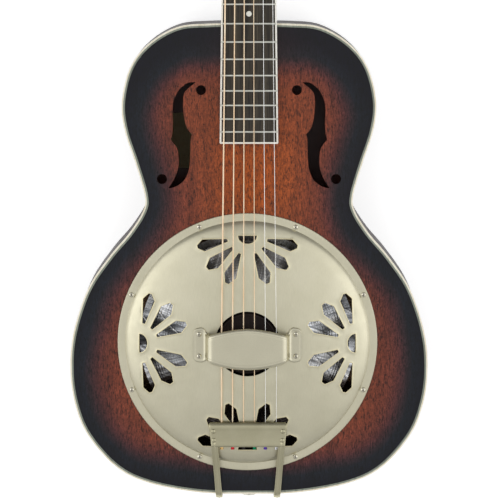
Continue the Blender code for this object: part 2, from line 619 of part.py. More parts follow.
# ---------------------------------------------------------------- strings
for i, radius in enumerate(STRING_R):
    sign = 1 if i < 3 else -1
    u = TUNER_U[i] if i < 3 else TUNER_U[5 - i]
    nut_h = board_z(NUT_Y) + FRET_H + 0.5 + radius
    nut_x = string_x(i, NUT_Y)
    end = head_point(sign * (TUNER_X - 2.9 - radius - 0.5), u - 0.5, 9.4)
    path = [
        (string_x(i, BALL_Y), BALL_Y - 1.5, BALL_Z, 1.2), (string_x(i, BALL_Y), BALL_Y - 1.4, BALL_Z, 1.9), (string_x(i, BALL_Y), BALL_Y + 1.4, BALL_Z, 1.9),
        (string_x(i, BALL_Y), BALL_Y + 1.6, BALL_Z, radius),
        (string_x(i, SADDLE_Y), SADDLE_Y + 0.05 * string_x(i, 0), SADDLE_TOP + radius, radius),
        (nut_x, NUT_Y + 0.2, nut_h, radius), (nut_x, NUT_Y + 4.4, nut_h - 0.6, radius), (*end, radius),
    ]
    curve = bpy.data.curves.new(f"string_{i + 1}", "CURVE")
    curve.dimensions = "3D"
    curve.bevel_depth = 1.0 * MM
    curve.bevel_resolution = 2
    curve.use_fill_caps = True
    s = curve.splines.new("POLY")
    s.points.add(len(path) - 1)
    for point, (x, y, z, r) in zip(s.points, path):
        point.co = (x * MM, y * MM, z * MM, 1)
        point.radius = r
    obj = bpy.data.objects.new(f"string_{i + 1}", curve)
    bpy.context.scene.collection.objects.link(obj)
    made = as_mesh(obj, f"string_{i + 1}")
    keep(shade(made), "steel" if i < 2 else "bronze")
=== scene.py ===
import json
import math

import bmesh
import bpy
import numpy as np
from mathutils import Matrix, Vector
from mathutils.geometry import delaunay_2d_cdt


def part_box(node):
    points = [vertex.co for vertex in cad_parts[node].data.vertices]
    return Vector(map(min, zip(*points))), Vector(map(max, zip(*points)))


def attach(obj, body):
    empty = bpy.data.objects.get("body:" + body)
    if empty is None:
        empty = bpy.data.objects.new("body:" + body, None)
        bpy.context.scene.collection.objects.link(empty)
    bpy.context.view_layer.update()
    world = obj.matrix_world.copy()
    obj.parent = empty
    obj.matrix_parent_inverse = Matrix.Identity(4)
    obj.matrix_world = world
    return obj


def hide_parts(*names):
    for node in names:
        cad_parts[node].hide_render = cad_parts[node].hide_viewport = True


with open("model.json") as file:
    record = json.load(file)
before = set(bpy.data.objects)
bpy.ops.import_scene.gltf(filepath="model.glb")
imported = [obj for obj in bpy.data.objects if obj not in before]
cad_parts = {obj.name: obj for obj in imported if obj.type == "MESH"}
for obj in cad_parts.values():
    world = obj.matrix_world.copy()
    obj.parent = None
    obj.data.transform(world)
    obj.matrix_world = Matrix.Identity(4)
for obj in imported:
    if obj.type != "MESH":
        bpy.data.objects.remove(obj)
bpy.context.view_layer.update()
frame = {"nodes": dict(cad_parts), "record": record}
RECORD = frame["record"]
NODES = frame["nodes"]
ROOT = "guitar"
MM = 0.001
GAP = 0.3

# =====================================================================================
# dimensions, in millimetres, the same as the CAD part's
# =====================================================================================
TOP_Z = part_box("soundboard")[1].z / MM
PLATE = 3.0
EDGE = 3.35
BINDING_H = 6.0
SIDE_T = 2.6
SCALE = 635.0
FRET_12_Y = 314.8
NUT_Y = FRET_12_Y + SCALE / 2
SADDLE_Y = FRET_12_Y - SCALE / 2
FRETS = 19
BOARD_END_Y = 197.4
BOARD_NUT_W, BOARD_END_W = 46.5, 57.4
BOARD_T = 5.5
BOARD_Z12 = 89.0
NECK_SLOPE = 0.0209
FRET_H = 1.0
RES_X, TAIL_X = -1.5, -0.9
COVER_R, FLANGE_R, COVER_HOLE_R = 128.4, 120.8, 32.2
CONE_HOLE_R, CONE_R = 121.3, 120.4
SCREW_RING_R = 124.0
FAN_R = 106.7
HEAD_PITCH = math.radians(15)
HEAD_T, HEAD_L = 15.0, 186.0
NUT_SPREAD, SADDLE_SPREAD = 39.5, 54.0
STRING_R = [0.20, 0.23, 0.36, 0.50, 0.62, 0.75]
SADDLE_TOP = 100.8
TUNER_U = [42.0, 84.0, 126.0]
TUNER_X = 24.0
WORM_DU, WORM_W = 9.1, -20.9
REST_Y = -1.0
HINGE_Y, HINGE_Z = -156.9, 38.0
STRAP_Z = 22.0
BALL_Y, BALL_Z = -103.6, 92.0

HALF_OUTLINE = [
    (0, 311.4), (40, 311.0), (69.0, 307.9), (95.5, 292.9), (113.3, 270.5), (121.5, 238.0),
    (118.7, 209.9), (108.6, 178.8), (99.4, 146.2), (101.2, 129.0), (115.1, 106.5), (135.2, 82.6),
    (156.0, 51.4), (170.0, 10.3), (173.7, -26.0), (169.6, -60.1), (157.2, -91.5), (130.0, -122.7),
    (98.7, -138.3), (50, -147.6), (0, -149.2),
]
F_HOLE = [
    (52.1, 257.3), (59.3, 256.9), (64.8, 253.4), (69.0, 249.3), (72.6, 242.4), (74.6, 236.1),
    (75.1, 226.4), (74.7, 216.6), (75.3, 206.9), (76.8, 200.7), (73.3, 196.5), (70.5, 191.7),
    (69.4, 185.4), (69.0, 178.4), (69.9, 172.3), (72.9, 163.4), (79.3, 153.0), (75.5, 153.3),
    (69.2, 156.1), (63.0, 161.8), (59.1, 171.3), (57.9, 180.8), (57.6, 190.0), (57.4, 198.0),
    (57.2, 202.1), (56.0, 206.2), (59.3, 209.7), (61.8, 214.5), (63.5, 221.6), (64.5, 230.6),
    (64.7, 238.9), (63.5, 246.5), (59.3, 251.4), (55.1, 254.8),
]
F_CORNERS = {0, 9, 16, 25}
F_DOTS = [(47.0, 249.5, 4.85), (85.6, 162.0, 4.95)]


# =====================================================================================
# small geometry tools, in millimetres
# =====================================================================================
def add(name, verts, faces, angle=35, at=None, fix=True):
    """A mesh object from millimetre points, welded, normals out, smooth with sharp edges over angle."""
    mesh = bpy.data.meshes.new(name)
    mesh.from_pydata([Vector(v) * MM for v in verts], [], faces)
    bm = bmesh.new()
    bm.from_mesh(mesh)
    bmesh.ops.remove_doubles(bm, verts=bm.verts, dist=2e-6)
    if fix:
        bmesh.ops.recalc_face_normals(bm, faces=bm.faces)
    if at is not None:
        bmesh.ops.transform(bm, matrix=at, verts=bm.verts)
    bm.to_mesh(mesh)
    bm.free()
    mesh.shade_smooth()
    mesh.set_sharp_from_angle(angle=math.radians(angle))
    obj = bpy.data.objects.new(name, mesh)
    bpy.context.scene.collection.objects.link(obj)
    return obj


def loft(rings, around=True, caps=True, loop=False):
    n, m = len(rings[0]), len(rings)
    verts = [p for r in rings for p in r]
    faces = []
    for i in range(m if loop else m - 1):
        a, b = i * n, ((i + 1) % m) * n
        for k in range(n if around else n - 1):
            j = (k + 1) % n
            faces.append((a + k, a + j, b + j, b + k))
    if caps and around and not loop:
        faces.append(tuple(range(n - 1, -1, -1)))
        faces.append(tuple((m - 1) * n + k for k in range(n)))
    return verts, faces


def merge(*parts):
    verts, faces = [], []
    for v, f in parts:
        base = len(verts)
        verts += [tuple(p) for p in v]
        faces += [tuple(i + base for i in face) for face in f]
    return verts, faces


def moved(part, matrix):
    v, f = part
    return [tuple(matrix @ Vector(p)) for p in v], f


def lathe(profile, n=96, closed=True):
    """A profile of (radius, height) points turned about Z."""
    rings = []
    for k in range(n):
        a = 2 * math.pi * k / n
        c, s = math.cos(a), math.sin(a)
        rings.append([(r * c, r * s, z) for r, z in profile])
    return loft(rings, around=closed, loop=True)


def tube(path, radius, n=10, caps=True):
    """A round tube along points; radius is a number or one number for each point."""
    pts = [Vector(p) for p in path]
    rad = radius if hasattr(radius, "__len__") else [radius] * len(pts)
    rings, side = [], None
    for i, p in enumerate(pts):
        t = (pts[min(i + 1, len(pts) - 1)] - pts[max(i - 1, 0)]).normalized()
        if side is None:
            side = t.orthogonal().normalized()
        side = (side - t * side.dot(t)).normalized()
        up = t.cross(side)
        rings.append([tuple(p + (side * math.cos(2 * math.pi * k / n) + up * math.sin(2 * math.pi * k / n)) * rad[i]) for k in range(n)])
    return loft(rings, caps=caps)


def slab(low, high, r=0.4):
    """A block whose edges are rounded over by r."""
    (x0, y0, z0), (x1, y1, z1) = low, high
    rings = []
    for z, d in ((z0, r), (z0 + 0.3 * r, 0.3 * r), (z0 + r, 0), (z1 - r, 0), (z1 - 0.3 * r, 0.3 * r), (z1, r)):
        ring = []
        for cx, cy, a0 in ((x1 - r, y1 - r, 0), (x0 + r, y1 - r, 90), (x0 + r, y0 + r, 180), (x1 - r, y0 + r, 270)):
            for t in (0, 30, 60, 90):
                a = math.radians(a0 + t)
                ring.append((cx + (r - d) * math.cos(a), cy + (r - d) * math.sin(a), z))
        rings.append(ring)
    return loft(rings)


def catmull(points, cuts, closed=False, corners=()):
    """Smooth line through points; at a corner the line stays sharp."""
    n = len(points)
    pts = [Vector(p) for p in points]
    out = []
    for i in range(n if closed else n - 1):
        p1, p2 = pts[i], pts[(i + 1) % n]
        p0 = pts[i - 1] if (closed or i) and i not in corners else p1 * 2 - p2
        p3 = pts[(i + 2) % n] if (closed or i < n - 2) and (i + 1) % n not in corners else p2 * 2 - p1
        for k in range(cuts):
            t = k / cuts
            out.append(tuple(0.5 * (2 * p1 + (p2 - p0) * t + (2 * p0 - 5 * p1 + 4 * p2 - p3) * t * t + (3 * p1 - p0 - 3 * p2 + p3) * t ** 3)))
    if not closed:
        out.append(tuple(pts[-1]))
    return out


def eased(xs, ys, x):
    """Smooth interpolation of y over x, flat nowhere except where the points are."""
    xs, ys, x = np.array(xs, float), np.array(ys, float), np.atleast_1d(np.array(x, float))
    slope = np.gradient(ys, xs)
    i = np.clip(np.searchsorted(xs, x, side="right") - 1, 0, len(xs) - 2)
    h = xs[i + 1] - xs[i]
    t = np.clip((x - xs[i]) / h, 0, 1)
    return (ys[i] * (2 * t ** 3 - 3 * t ** 2 + 1) + h * slope[i] * (t ** 3 - 2 * t ** 2 + t)
            + ys[i + 1] * (-2 * t ** 3 + 3 * t ** 2) + h * slope[i + 1] * (t ** 3 - t ** 2))


def circle(x, y, r, n=48):
    return [(x + r * math.cos(2 * math.pi * i / n), y + r * math.sin(2 * math.pi * i / n)) for i in range(n)]


def signed_area(loop):
    return 0.5 * sum(a[0] * b[1] - b[0] * a[1] for a, b in zip(loop, loop[1:] + loop[:1]))


def grown(loop, d):
    """A closed outline moved outwards by d, or inwards where d is negative."""
    if signed_area(loop) < 0:
        loop = loop[::-1]
    out = []
    n = len(loop)
    for i in range(n):
        a, p, b = Vector(loop[i - 1]), Vector(loop[i]), Vector(loop[(i + 1) % n])
        t = ((p - a).normalized() + (b - p).normalized())
        t = t.normalized() if t.length > 1e-6 else (b - p).normalized()
        out.append((p.x + t.y * d, p.y - t.x * d))
    return out


def distance_to(points, loops):
    """Distance of each point from the nearest side of any of the closed outlines."""
    p = np.array(points, float)
    best = np.full(len(p), 1e9)
    for loop in loops:
        a = np.array(loop, float)
        b = np.roll(a, -1, axis=0)
        ab = b - a
        ll = np.maximum((ab ** 2).sum(1), 1e-12)
        for start in range(0, len(p), 4000):
            q = p[start:start + 4000, None, :] - a[None]
            t = np.clip((q * ab[None]).sum(2) / ll[None], 0, 1)
            d = np.sqrt(((q - ab[None] * t[..., None]) ** 2).sum(2)).min(1)
            best[start:start + 4000] = np.minimum(best[start:start + 4000], d)
    return best


def within(points, loops):
    """Even and odd rule over all the outlines together."""
    p = np.array(points, float)
    inside = np.zeros(len(p), bool)
    for loop in loops:
        a = np.array(loop, float)
        b = np.roll(a, -1, axis=0)
        for start in range(0, len(p), 4000):
            x, y = p[start:start + 4000, 0:1], p[start:start + 4000, 1:2]
            cross = (a[None, :, 1] > y) != (b[None, :, 1] > y)
            dy = b[None, :, 1] - a[None, :, 1]
            dy = np.where(np.abs(dy) < 1e-12, 1e-12, dy)
            at = a[None, :, 0] + (y - a[None, :, 1]) / dy * (b[None, :, 0] - a[None, :, 0])
            inside[start:start + 4000] ^= ((cross & (x < at)).sum(1) % 2).astype(bool)
    return inside


def thickened(obj, thick, angle=35):
    """Real thickness below the modelled face, with the new rim kept crisp."""
    m = obj.modifiers.new("Thickness", "SOLIDIFY")
    m.thickness = thick * MM
    m.offset = -1
    bpy.context.view_layer.update()
    mesh = bpy.data.meshes.new_from_object(obj.evaluated_get(bpy.context.evaluated_depsgraph_get()))
    obj.modifiers.clear()
    obj.data = mesh
    mesh.name = obj.name
    mesh.shade_smooth()
    mesh.set_sharp_from_angle(angle=math.radians(angle))
    return obj


def sheet(name, outer, holes, inner, height, extra=(), thick=3.0, angle=35, at=None):
    """A triangulated plate seen from above, its upper face at height(x, y), with real thickness below it."""
    pts, edges = [], []
    for loop in [outer, *holes, *extra]:
        base, n = len(pts), len(loop)
        pts += [Vector(p) for p in loop]
        edges += [(base + i, base + (i + 1) % n) for i in range(n)]
    pts += [Vector(p) for p in inner]
    flat, _, tris, _, _, _ = delaunay_2d_cdt(pts, edges, [], 0, 1e-5)
    xy = np.array([tuple(v) for v in flat], float)
    tri = np.array([t for t in tris], int)
    keep = within(xy[tri].mean(1), [outer, *holes])
    tri = tri[keep]
    a, b, c = xy[tri[:, 0]], xy[tri[:, 1]], xy[tri[:, 2]]
    turn = (b[:, 0] - a[:, 0]) * (c[:, 1] - a[:, 1]) - (b[:, 1] - a[:, 1]) * (c[:, 0] - a[:, 0])
    tri[turn < 0] = tri[turn < 0][:, ::-1]
    tri = tri[np.abs(turn) > 1e-9]
    used = np.unique(tri)
    index = np.full(len(xy), -1)
    index[used] = np.arange(len(used))
    xy = xy[used]
    z = height(xy[:, 0], xy[:, 1])
    verts = [(x, y, h) for (x, y), h in zip(xy, z)]
    obj = add(name, verts, [tuple(int(i) for i in t) for t in index[tri]], angle=angle, at=at, fix=False)
    return thickened(obj, thick, angle)


def store(obj, name, values):
    a = obj.data.attributes.new(name, "FLOAT", "POINT")
    a.data.foreach_set("value", np.array(values, np.float32))


def points_of(obj):
    co = np.empty(len(obj.data.vertices) * 3, np.float32)
    obj.data.vertices.foreach_get("co", co)
    return co.reshape(-1, 3).astype(float) / MM


def rounded(obj, width, segments=2, angle=35):
    m = obj.modifiers.new("Rounded", "BEVEL")
    m.width = width * MM
    m.segments = segments
    m.limit_method = "ANGLE"
    m.angle_limit = math.radians(angle)
    m.harden_normals = False
    return obj


# =====================================================================================
# materials
# =====================================================================================
def srgb(r, g, b, k=1.0):
    out = []
    for v in (r, g, b):
        v /= 255.0
        out.append((v / 12.92 if v <= 0.04045 else ((v + 0.055) / 1.055) ** 2.4) * k)
    return (*out, 1.0)


def paint(r, g, b, sheen=0.026, k=0.95):
    """The colour under a clear finish that shows as this one once the finish reflects the studio."""
    return (*(max(0.0008, (v - sheen) * k) for v in srgb(r, g, b)[:3]), 1.0)


class Look:
    """A procedural material: small helpers around its node tree. Sizes of patterns are in millimetres."""

    def __init__(self, name, metallic=0.0, rough=0.5, ior=1.5, level=0.5, coat=0.0, coat_rough=0.1, aniso=0.0):
        self.m = bpy.data.materials.new(name)
        self.m.use_nodes = True
        self.t = self.m.node_tree
        self.b = self.t.nodes["Principled BSDF"]
        self.b.inputs["Metallic"].default_value = metallic
        self.b.inputs["Roughness"].default_value = rough
        self.b.inputs["IOR"].default_value = ior
        self.b.inputs["Specular IOR Level"].default_value = level
        self.b.inputs["Coat Weight"].default_value = coat
        self.b.inputs["Coat Roughness"].default_value = coat_rough
        self.b.inputs["Anisotropic"].default_value = aniso
        self.place = self.t.nodes.new("ShaderNodeTexCoord").outputs["Object"]

    def put(self, socket, value):
        if isinstance(value, bpy.types.NodeSocket):
            self.t.links.new(value, socket)
        elif value is not None:
            socket.default_value = value

    def node(self, kind, **given):
        n = self.t.nodes.new(kind)
        for key, value in given.items():
            setattr(n, key, value)
        return n

    def at(self, size, turn=(0, 0, 0), vector=None):
        n = self.node("ShaderNodeMapping")
        n.inputs["Scale"].default_value = tuple(1000.0 / s for s in size)
        n.inputs["Rotation"].default_value = turn
        self.put(n.inputs["Vector"], vector or self.place)
        return n.outputs[0]

    def noise(self, size, detail=3.0, rough=0.5, warp=0.0, turn=(0, 0, 0), vector=None):
        n = self.node("ShaderNodeTexNoise")
        n.inputs["Scale"].default_value = 1.0
        n.inputs["Detail"].default_value = detail
        n.inputs["Roughness"].default_value = rough
        n.inputs["Distortion"].default_value = warp
        self.put(n.inputs["Vector"], self.at(size, turn, vector))
        return n.outputs[0]

    def cells(self, size, spread=1.0, feature="F1", turn=(0, 0, 0)):
        n = self.node("ShaderNodeTexVoronoi", feature=feature)
        n.inputs["Scale"].default_value = 1.0
        n.inputs["Randomness"].default_value = spread
        self.put(n.inputs["Vector"], self.at(size, turn))
        return n.outputs[0]

    def ramp(self, value, stops, mode="LINEAR"):
        n = self.node("ShaderNodeValToRGB")
        r = n.color_ramp
        r.interpolation = mode
        while len(r.elements) > 1:
            r.elements.remove(r.elements[-1])
        for i, (where, colour) in enumerate(stops):
            colour = colour if hasattr(colour, "__len__") else (colour, colour, colour, 1.0)
            e = r.elements[0] if i == 0 else r.elements.new(where)
            e.position = where
            e.color = colour
        self.put(n.inputs[0], value)
        return n.outputs[0]

    def sum(self, kind, a, b=None, clamp=False):
        n = self.node("ShaderNodeMath", operation=kind, use_clamp=clamp)
        self.put(n.inputs[0], a)
        if b is not None:
            self.put(n.inputs[1], b)
        return n.outputs[0]

    def remap(self, value, low, high, to_low, to_high):
        n = self.node("ShaderNodeMapRange")
        self.put(n.inputs["Value"], value)
        for key, v in (("From Min", low), ("From Max", high), ("To Min", to_low), ("To Max", to_high)):
            n.inputs[key].default_value = v
        return n.outputs[0]

    def mix(self, share, a, b, kind="MIX"):
        n = self.node("ShaderNodeMix", data_type="RGBA", blend_type=kind)
        self.put(n.inputs[0], share)
        self.put(n.inputs[6], a)
        self.put(n.inputs[7], b)
        return n.outputs[2]

    def value(self, name):
        return self.node("ShaderNodeAttribute", attribute_name=name).outputs["Fac"]

    def relief(self, height, depth, strength=1.0):
        n = self.node("ShaderNodeBump")
        n.inputs["Strength"].default_value = strength
        n.inputs["Distance"].default_value = depth * MM
        self.put(n.inputs["Height"], height)
        self.put(self.b.inputs["Normal"], n.outputs[0])

    def colour(self, value):
        self.put(self.b.inputs["Base Color"], value)

    def rough(self, value):
        self.put(self.b.inputs["Roughness"], value)


def look_sunburst():
    s = Look("sunburst_mahogany_finish", ior=1.46, level=0.36)
    drift = s.noise((70, 110, 70), 2)
    deep = s.sum("ADD", s.value("edge_mm"), s.remap(drift, 0.3, 0.7, -3.0, 3.0))
    share = s.remap(deep, 0, 100, 0, 1)
    tone = lambda r, g, b: paint(r, g, b, 0.019)
    burst = s.ramp(share, [
        (0.0, tone(34, 38, 43)), (0.14, tone(43, 45, 50)), (0.20, tone(60, 49, 52)), (0.25, tone(78, 53, 54)),
        (0.30, tone(96, 58, 55)), (0.36, tone(112, 64, 55)), (0.44, tone(122, 67, 54)), (0.60, tone(130, 71, 53)), (1.0, tone(135, 73, 53)),
    ])
    # painted highlight: a broad pool of lighter, warmer orange mixed in over the upper bout's centre
    glow = s.value("painted_highlight")
    lit = s.mix(s.remap(glow, 0, 1, 0, 1), burst, paint(176, 92, 48))
    ribbon = s.noise((13, 230, 13), 3, 0.55, 0.6)
    lit = s.mix(0.9, lit, s.ramp(ribbon, [(0.30, 0.76), (0.5, 1.0), (0.72, 1.2)]), "MULTIPLY")
    fleck = s.noise((1.25, 5.6, 3), 2, 0.6, 0.9)
    lit = s.mix(0.95, lit, s.ramp(fleck, [(0.28, 0.04), (0.41, 0.64), (0.50, 1.06), (0.70, 1.62)]), "MULTIPLY")
    curl = s.noise((2.8, 1.9, 3), 3, 0.65, 1.4)
    lit = s.mix(0.75, lit, s.ramp(curl, [(0.30, 0.55), (0.5, 1.0), (0.70, 1.36)]), "MULTIPLY")
    line = s.noise((0.5, 26, 3), 3, 0.7)
    lit = s.mix(0.6, lit, s.ramp(line, [(0.35, 0.72), (0.55, 1.0), (0.75, 1.2)]), "MULTIPLY")
    s.colour(lit)
    haze = s.noise((34, 34, 34), 4, 0.6)
    s.rough(s.ramp(haze, [(0.3, 0.34), (0.7, 0.43)]))
    s.relief(s.sum("ADD", fleck, s.noise((5, 60, 5), 2)), 0.02, 0.4)
    return s.m


def look_stained(name="dark_mahogany_finish", level=0.5, tone=1.0):
    """Near-black stain over mahogany; the grain runs along Y."""
    s = Look(name, ior=1.46, level=level)
    ribbon = s.noise((14, 240, 14), 3, 0.55, 0.5)
    base = s.ramp(ribbon, [(0.3, paint(46, 44, 46, k=tone)), (0.5, paint(56, 47, 48, k=tone)), (0.72, paint(70, 50, 50, k=tone))])
    fleck = s.noise((0.8, 9, 1.6), 2, 0.6, 0.3)
    tone = s.mix(0.8, base, s.ramp(fleck, [(0.32, 0.45), (0.5, 1.0), (0.7, 1.25)]), "MULTIPLY")
    bare = s.ramp(ribbon, [(0.3, srgb(72, 26, 14)), (0.7, srgb(104, 42, 24))])
    s.colour(s.mix(s.value("bare"), tone, bare))
    s.rough(s.ramp(s.noise((30, 30, 30), 4, 0.6), [(0.3, 0.30), (0.7, 0.42)]))
    s.relief(fleck, 0.03, 0.4)
    return s.m


def look_raw(name, light, dark, size=(5, 120, 5)):
    s = Look(name, rough=0.75)
    grain = s.noise(size, 4, 0.6, 0.8)
    base = s.ramp(grain, [(0.3, dark), (0.55, light), (0.75, srgb(196, 160, 116))])
    s.colour(s.mix(0.6, base, s.ramp(s.noise((0.7, 12, 0.7), 2), [(0.35, 0.7), (0.6, 1.0)]), "MULTIPLY"))
    s.rough(s.ramp(grain, [(0.3, 0.85), (0.7, 0.66)]))
    s.relief(s.noise((0.6, 14, 0.6), 3), 0.12, 0.6)
    return s.m


def look_paper():
    """Plain aged paper with fibres and a few foxed spots."""
    s = Look("plain_paper", ior=1.4, level=0.2)
    fibre = s.noise((0.9, 3.4, 0.9), 4, 0.65, 1.0)
    base = s.ramp(fibre, [(0.3, srgb(158, 142, 108)), (0.7, srgb(180, 166, 132))])
    s.colour(s.mix(s.ramp(s.noise((9, 9, 9), 4), [(0.55, 0.0), (0.8, 0.4)]), base, srgb(150, 122, 84)))
    s.rough(s.ramp(fibre, [(0.3, 0.8), (0.7, 0.95)]))
    s.relief(fibre, 0.03, 0.5)
    return s.m


def look_stained_maple():
    """Black-brown stained maple with fine grain and a light seal."""
    s = Look("black_stained_maple", ior=1.4, level=0.25)
    grain = s.noise((2.4, 34, 2.4), 4, 0.6, 0.6)
    base = s.ramp(grain, [(0.3, srgb(20, 13, 11)), (0.6, srgb(34, 24, 20)), (0.8, srgb(46, 34, 28))])
    s.colour(base)
    s.rough(s.ramp(grain, [(0.3, 0.46), (0.7, 0.62)]))
    s.relief(grain, 0.03, 0.4)
    return s.m


def look_ivoroid(name, light, dark, rough=0.32, stripe=2.2, aged=(196, 178, 136), level=0.5):
    """Cream plastic with faint layers, a little staining and fine scratches."""
    s = Look(name, ior=1.5, level=level)
    layers = s.noise((stripe, 90, stripe), 3, 0.5, 0.3)
    base = s.ramp(layers, [(0.3, dark), (0.6, light)])
    stain = s.noise((22, 22, 22), 5, 0.65)
    s.colour(s.mix(s.ramp(stain, [(0.45, 0.0), (0.75, 0.35)]), base, srgb(*aged)))
    s.rough(s.ramp(s.noise((8, 8, 8), 4), [(0.3, rough - 0.05), (0.7, rough + 0.12)]))
    s.relief(s.noise((0.25, 9, 0.25), 2), 0.01, 0.5)
    return s.m


def look_metal(name, light, dark, rough=(0.30, 0.42), cloud=26.0, grit=0.9, brushed=None, tint=None, aniso=0.0, depth=0.012, recess_dirt_and_shade=False):
    """Plated metal: cloudy tone, fine grit or brushing, small dark tarnish spots, where asked dirt and painted shade in
    a recess, and where asked a paler, yellower tint along edges.
    """
    s = Look(name, metallic=1.0, aniso=aniso)
    cloudy = s.noise((cloud, cloud, cloud), 5, 0.6)
    base = s.ramp(cloudy, [(0.3, dark), (0.68, light)])
    fine = s.noise((grit, grit, grit), 3, 0.6) if brushed is None else s.noise(brushed, 3, 0.6)
    base = s.mix(0.35, base, s.ramp(fine, [(0.3, 0.88), (0.7, 1.10)]), "MULTIPLY")
    spots = s.cells((3.1, 3.1, 3.1))
    base = s.mix(s.ramp(spots, [(0.0, 0.16), (0.07, 0.0)]), base, srgb(120, 108, 84))
    if recess_dirt_and_shade:
        # dirt and painted shade darken the screw heads' cross recess
        base = s.mix(s.value("recess_dirt_and_shade"), base, srgb(96, 90, 74))
    if tint:
        # where asked, a paler, yellower tint along the marked edges
        base = s.mix(s.value(tint), base, srgb(236, 222, 172))
    s.colour(base)
    s.rough(s.ramp(s.noise((12, 12, 12), 5, 0.65), [(0.3, rough[0]), (0.7, rough[1])]))
    s.relief(fine, depth, 0.5)
    return s.m


def look_cone():
    """Spun aluminium: fine turning rings, painted reflection streaks that run from the centre out with painted dark and
    bright glints, a flatter painted tone over the top side, and painted shade over the lower side and near the centre.
    """
    s = Look("spun_aluminium_metal", metallic=1.0, rough=0.24, aniso=0.0)
    sep = s.node("ShaderNodeSeparateXYZ")
    s.put(sep.inputs[0], s.place)
    angle = s.sum("ARCTAN2", sep.outputs[1], sep.outputs[0])
    radius = s.sum("SQRT", s.sum("ADD", s.sum("MULTIPLY", sep.outputs[0], sep.outputs[0]), s.sum("MULTIPLY", sep.outputs[1], sep.outputs[1])))
    joined = s.node("ShaderNodeCombineXYZ")
    s.put(joined.inputs[0], s.sum("COSINE", angle))
    s.put(joined.inputs[1], s.sum("SINE", angle))
    s.put(joined.inputs[2], s.sum("MULTIPLY", radius, 4.0))
    # painted reflections: radial streaks of dark and bright tone stand in for the spun metal's reflections
    wide = s.noise((150, 150, 400), 3, 0.6, vector=joined.outputs[0])
    thin = s.noise((26, 26, 300), 4, 0.7, vector=joined.outputs[0])
    streak = s.ramp(s.sum("ADD", s.sum("MULTIPLY", wide, 0.6), s.sum("MULTIPLY", thin, 0.5)), [
        (0.38, srgb(70, 72, 76)), (0.48, srgb(124, 126, 130)), (0.58, srgb(186, 189, 194)), (0.70, srgb(246, 247, 250))])
    # painted glints: thin dark and bright lines that curve out from the centre
    skew = s.sum("ADD", angle, s.sum("MULTIPLY", radius, 9.0))
    turned = s.node("ShaderNodeCombineXYZ")
    s.put(turned.inputs[0], s.sum("COSINE", skew))
    s.put(turned.inputs[1], s.sum("SINE", skew))
    glint = s.noise((330, 330, 900), 2, 0.5, vector=turned.outputs[0])
    streak = s.mix(s.ramp(glint, [(0.455, 0.0), (0.475, 0.75), (0.49, 0.0)]), streak, srgb(28, 26, 26))
    streak = s.mix(s.ramp(glint, [(0.49, 0.0), (0.505, 1.0), (0.52, 0.0)]), streak, srgb(255, 255, 255))
    ring = s.sum("SINE", s.sum("MULTIPLY", radius, 2 * math.pi / 0.0011))
    streak = s.mix(0.25, streak, s.ramp(s.remap(ring, -1, 1, 0, 1), [(0.0, 0.78), (1.0, 1.08)]), "MULTIPLY")
    # painted reflection: towards +Y the streaks are pulled to a flat mid grey
    streak = s.mix(s.ramp(s.remap(sep.outputs[1], 0.040, 0.085, 0, 1), [(0.0, 0.0), (1.0, 0.62)]), streak, srgb(146, 140, 134))
    # painted shadow: the lower side, towards -Y, is darkened to a dark brown
    shade = s.ramp(s.remap(s.sum("ADD", sep.outputs[1], s.sum("MULTIPLY", s.remap(wide, 0.3, 0.7, -1, 1), 0.022)), -0.042, -0.010, 0, 1), [(0.0, 0.9), (1.0, 0.0)])
    streak = s.mix(shade, streak, srgb(66, 52, 44))
    # painted shade: close to the centre, round the biscuit and under the cover's inner edge, the cone fades to near
    # black
    s.colour(s.mix(s.ramp(s.remap(radius, 0.030, 0.046, 0, 1), [(0.0, 1.0), (0.3, 0.9), (1.0, 0.0)]), streak, srgb(30, 24, 22)))
    s.rough(s.ramp(thin, [(0.35, 0.36), (0.65, 0.20)]))
    s.relief(s.remap(ring, -1, 1, 0, 1), 0.02, 0.6)
    return s.m


def look_board():
    s = Look("oiled_rosewood", ior=1.45)
    streaks = s.noise((2.6, 130, 9), 5, 0.65, 1.0)
    base = s.ramp(streaks, [(0.26, paint(34, 32, 30, 0.02)), (0.42, paint(52, 48, 43, 0.02)), (0.58, paint(74, 68, 58, 0.02)), (0.76, paint(108, 98, 82, 0.02))])
    pores = s.noise((0.45, 6.5, 2), 2, 0.6)
    s.colour(s.mix(0.8, base, s.ramp(pores, [(0.34, 0.42), (0.46, 0.95), (0.7, 1.12)]), "MULTIPLY"))
    s.rough(s.ramp(s.noise((16, 30, 16), 4), [(0.3, 0.42), (0.7, 0.60)]))
    s.relief(pores, 0.06, 0.6)
    return s.m


def look_string(name, light, dark, rough, wind=None):
    s = Look(name, metallic=1.0, rough=rough)
    worn = s.noise((3, 26, 3), 4, 0.7)
    base = s.ramp(worn, [(0.3, dark), (0.65, light)])
    if wind:
        w = s.node("ShaderNodeTexWave", wave_type="BANDS", bands_direction="Y")
        w.inputs["Scale"].default_value = 1.0
        w.inputs["Distortion"].default_value = 0.0
        s.put(w.inputs["Vector"], s.at((6.0, wind * 6.0, 6.0)))
        base = s.mix(0.45, base, s.ramp(w.outputs[1], [(0.0, 0.55), (0.6, 1.1)]), "MULTIPLY")
        s.relief(w.outputs[1], 0.05, 0.7)
    else:
        s.relief(s.noise((0.4, 5, 0.4), 2), 0.004, 0.5)
    s.colour(base)
    s.rough(s.ramp(worn, [(0.3, rough + 0.12), (0.7, rough)]))
    return s.m


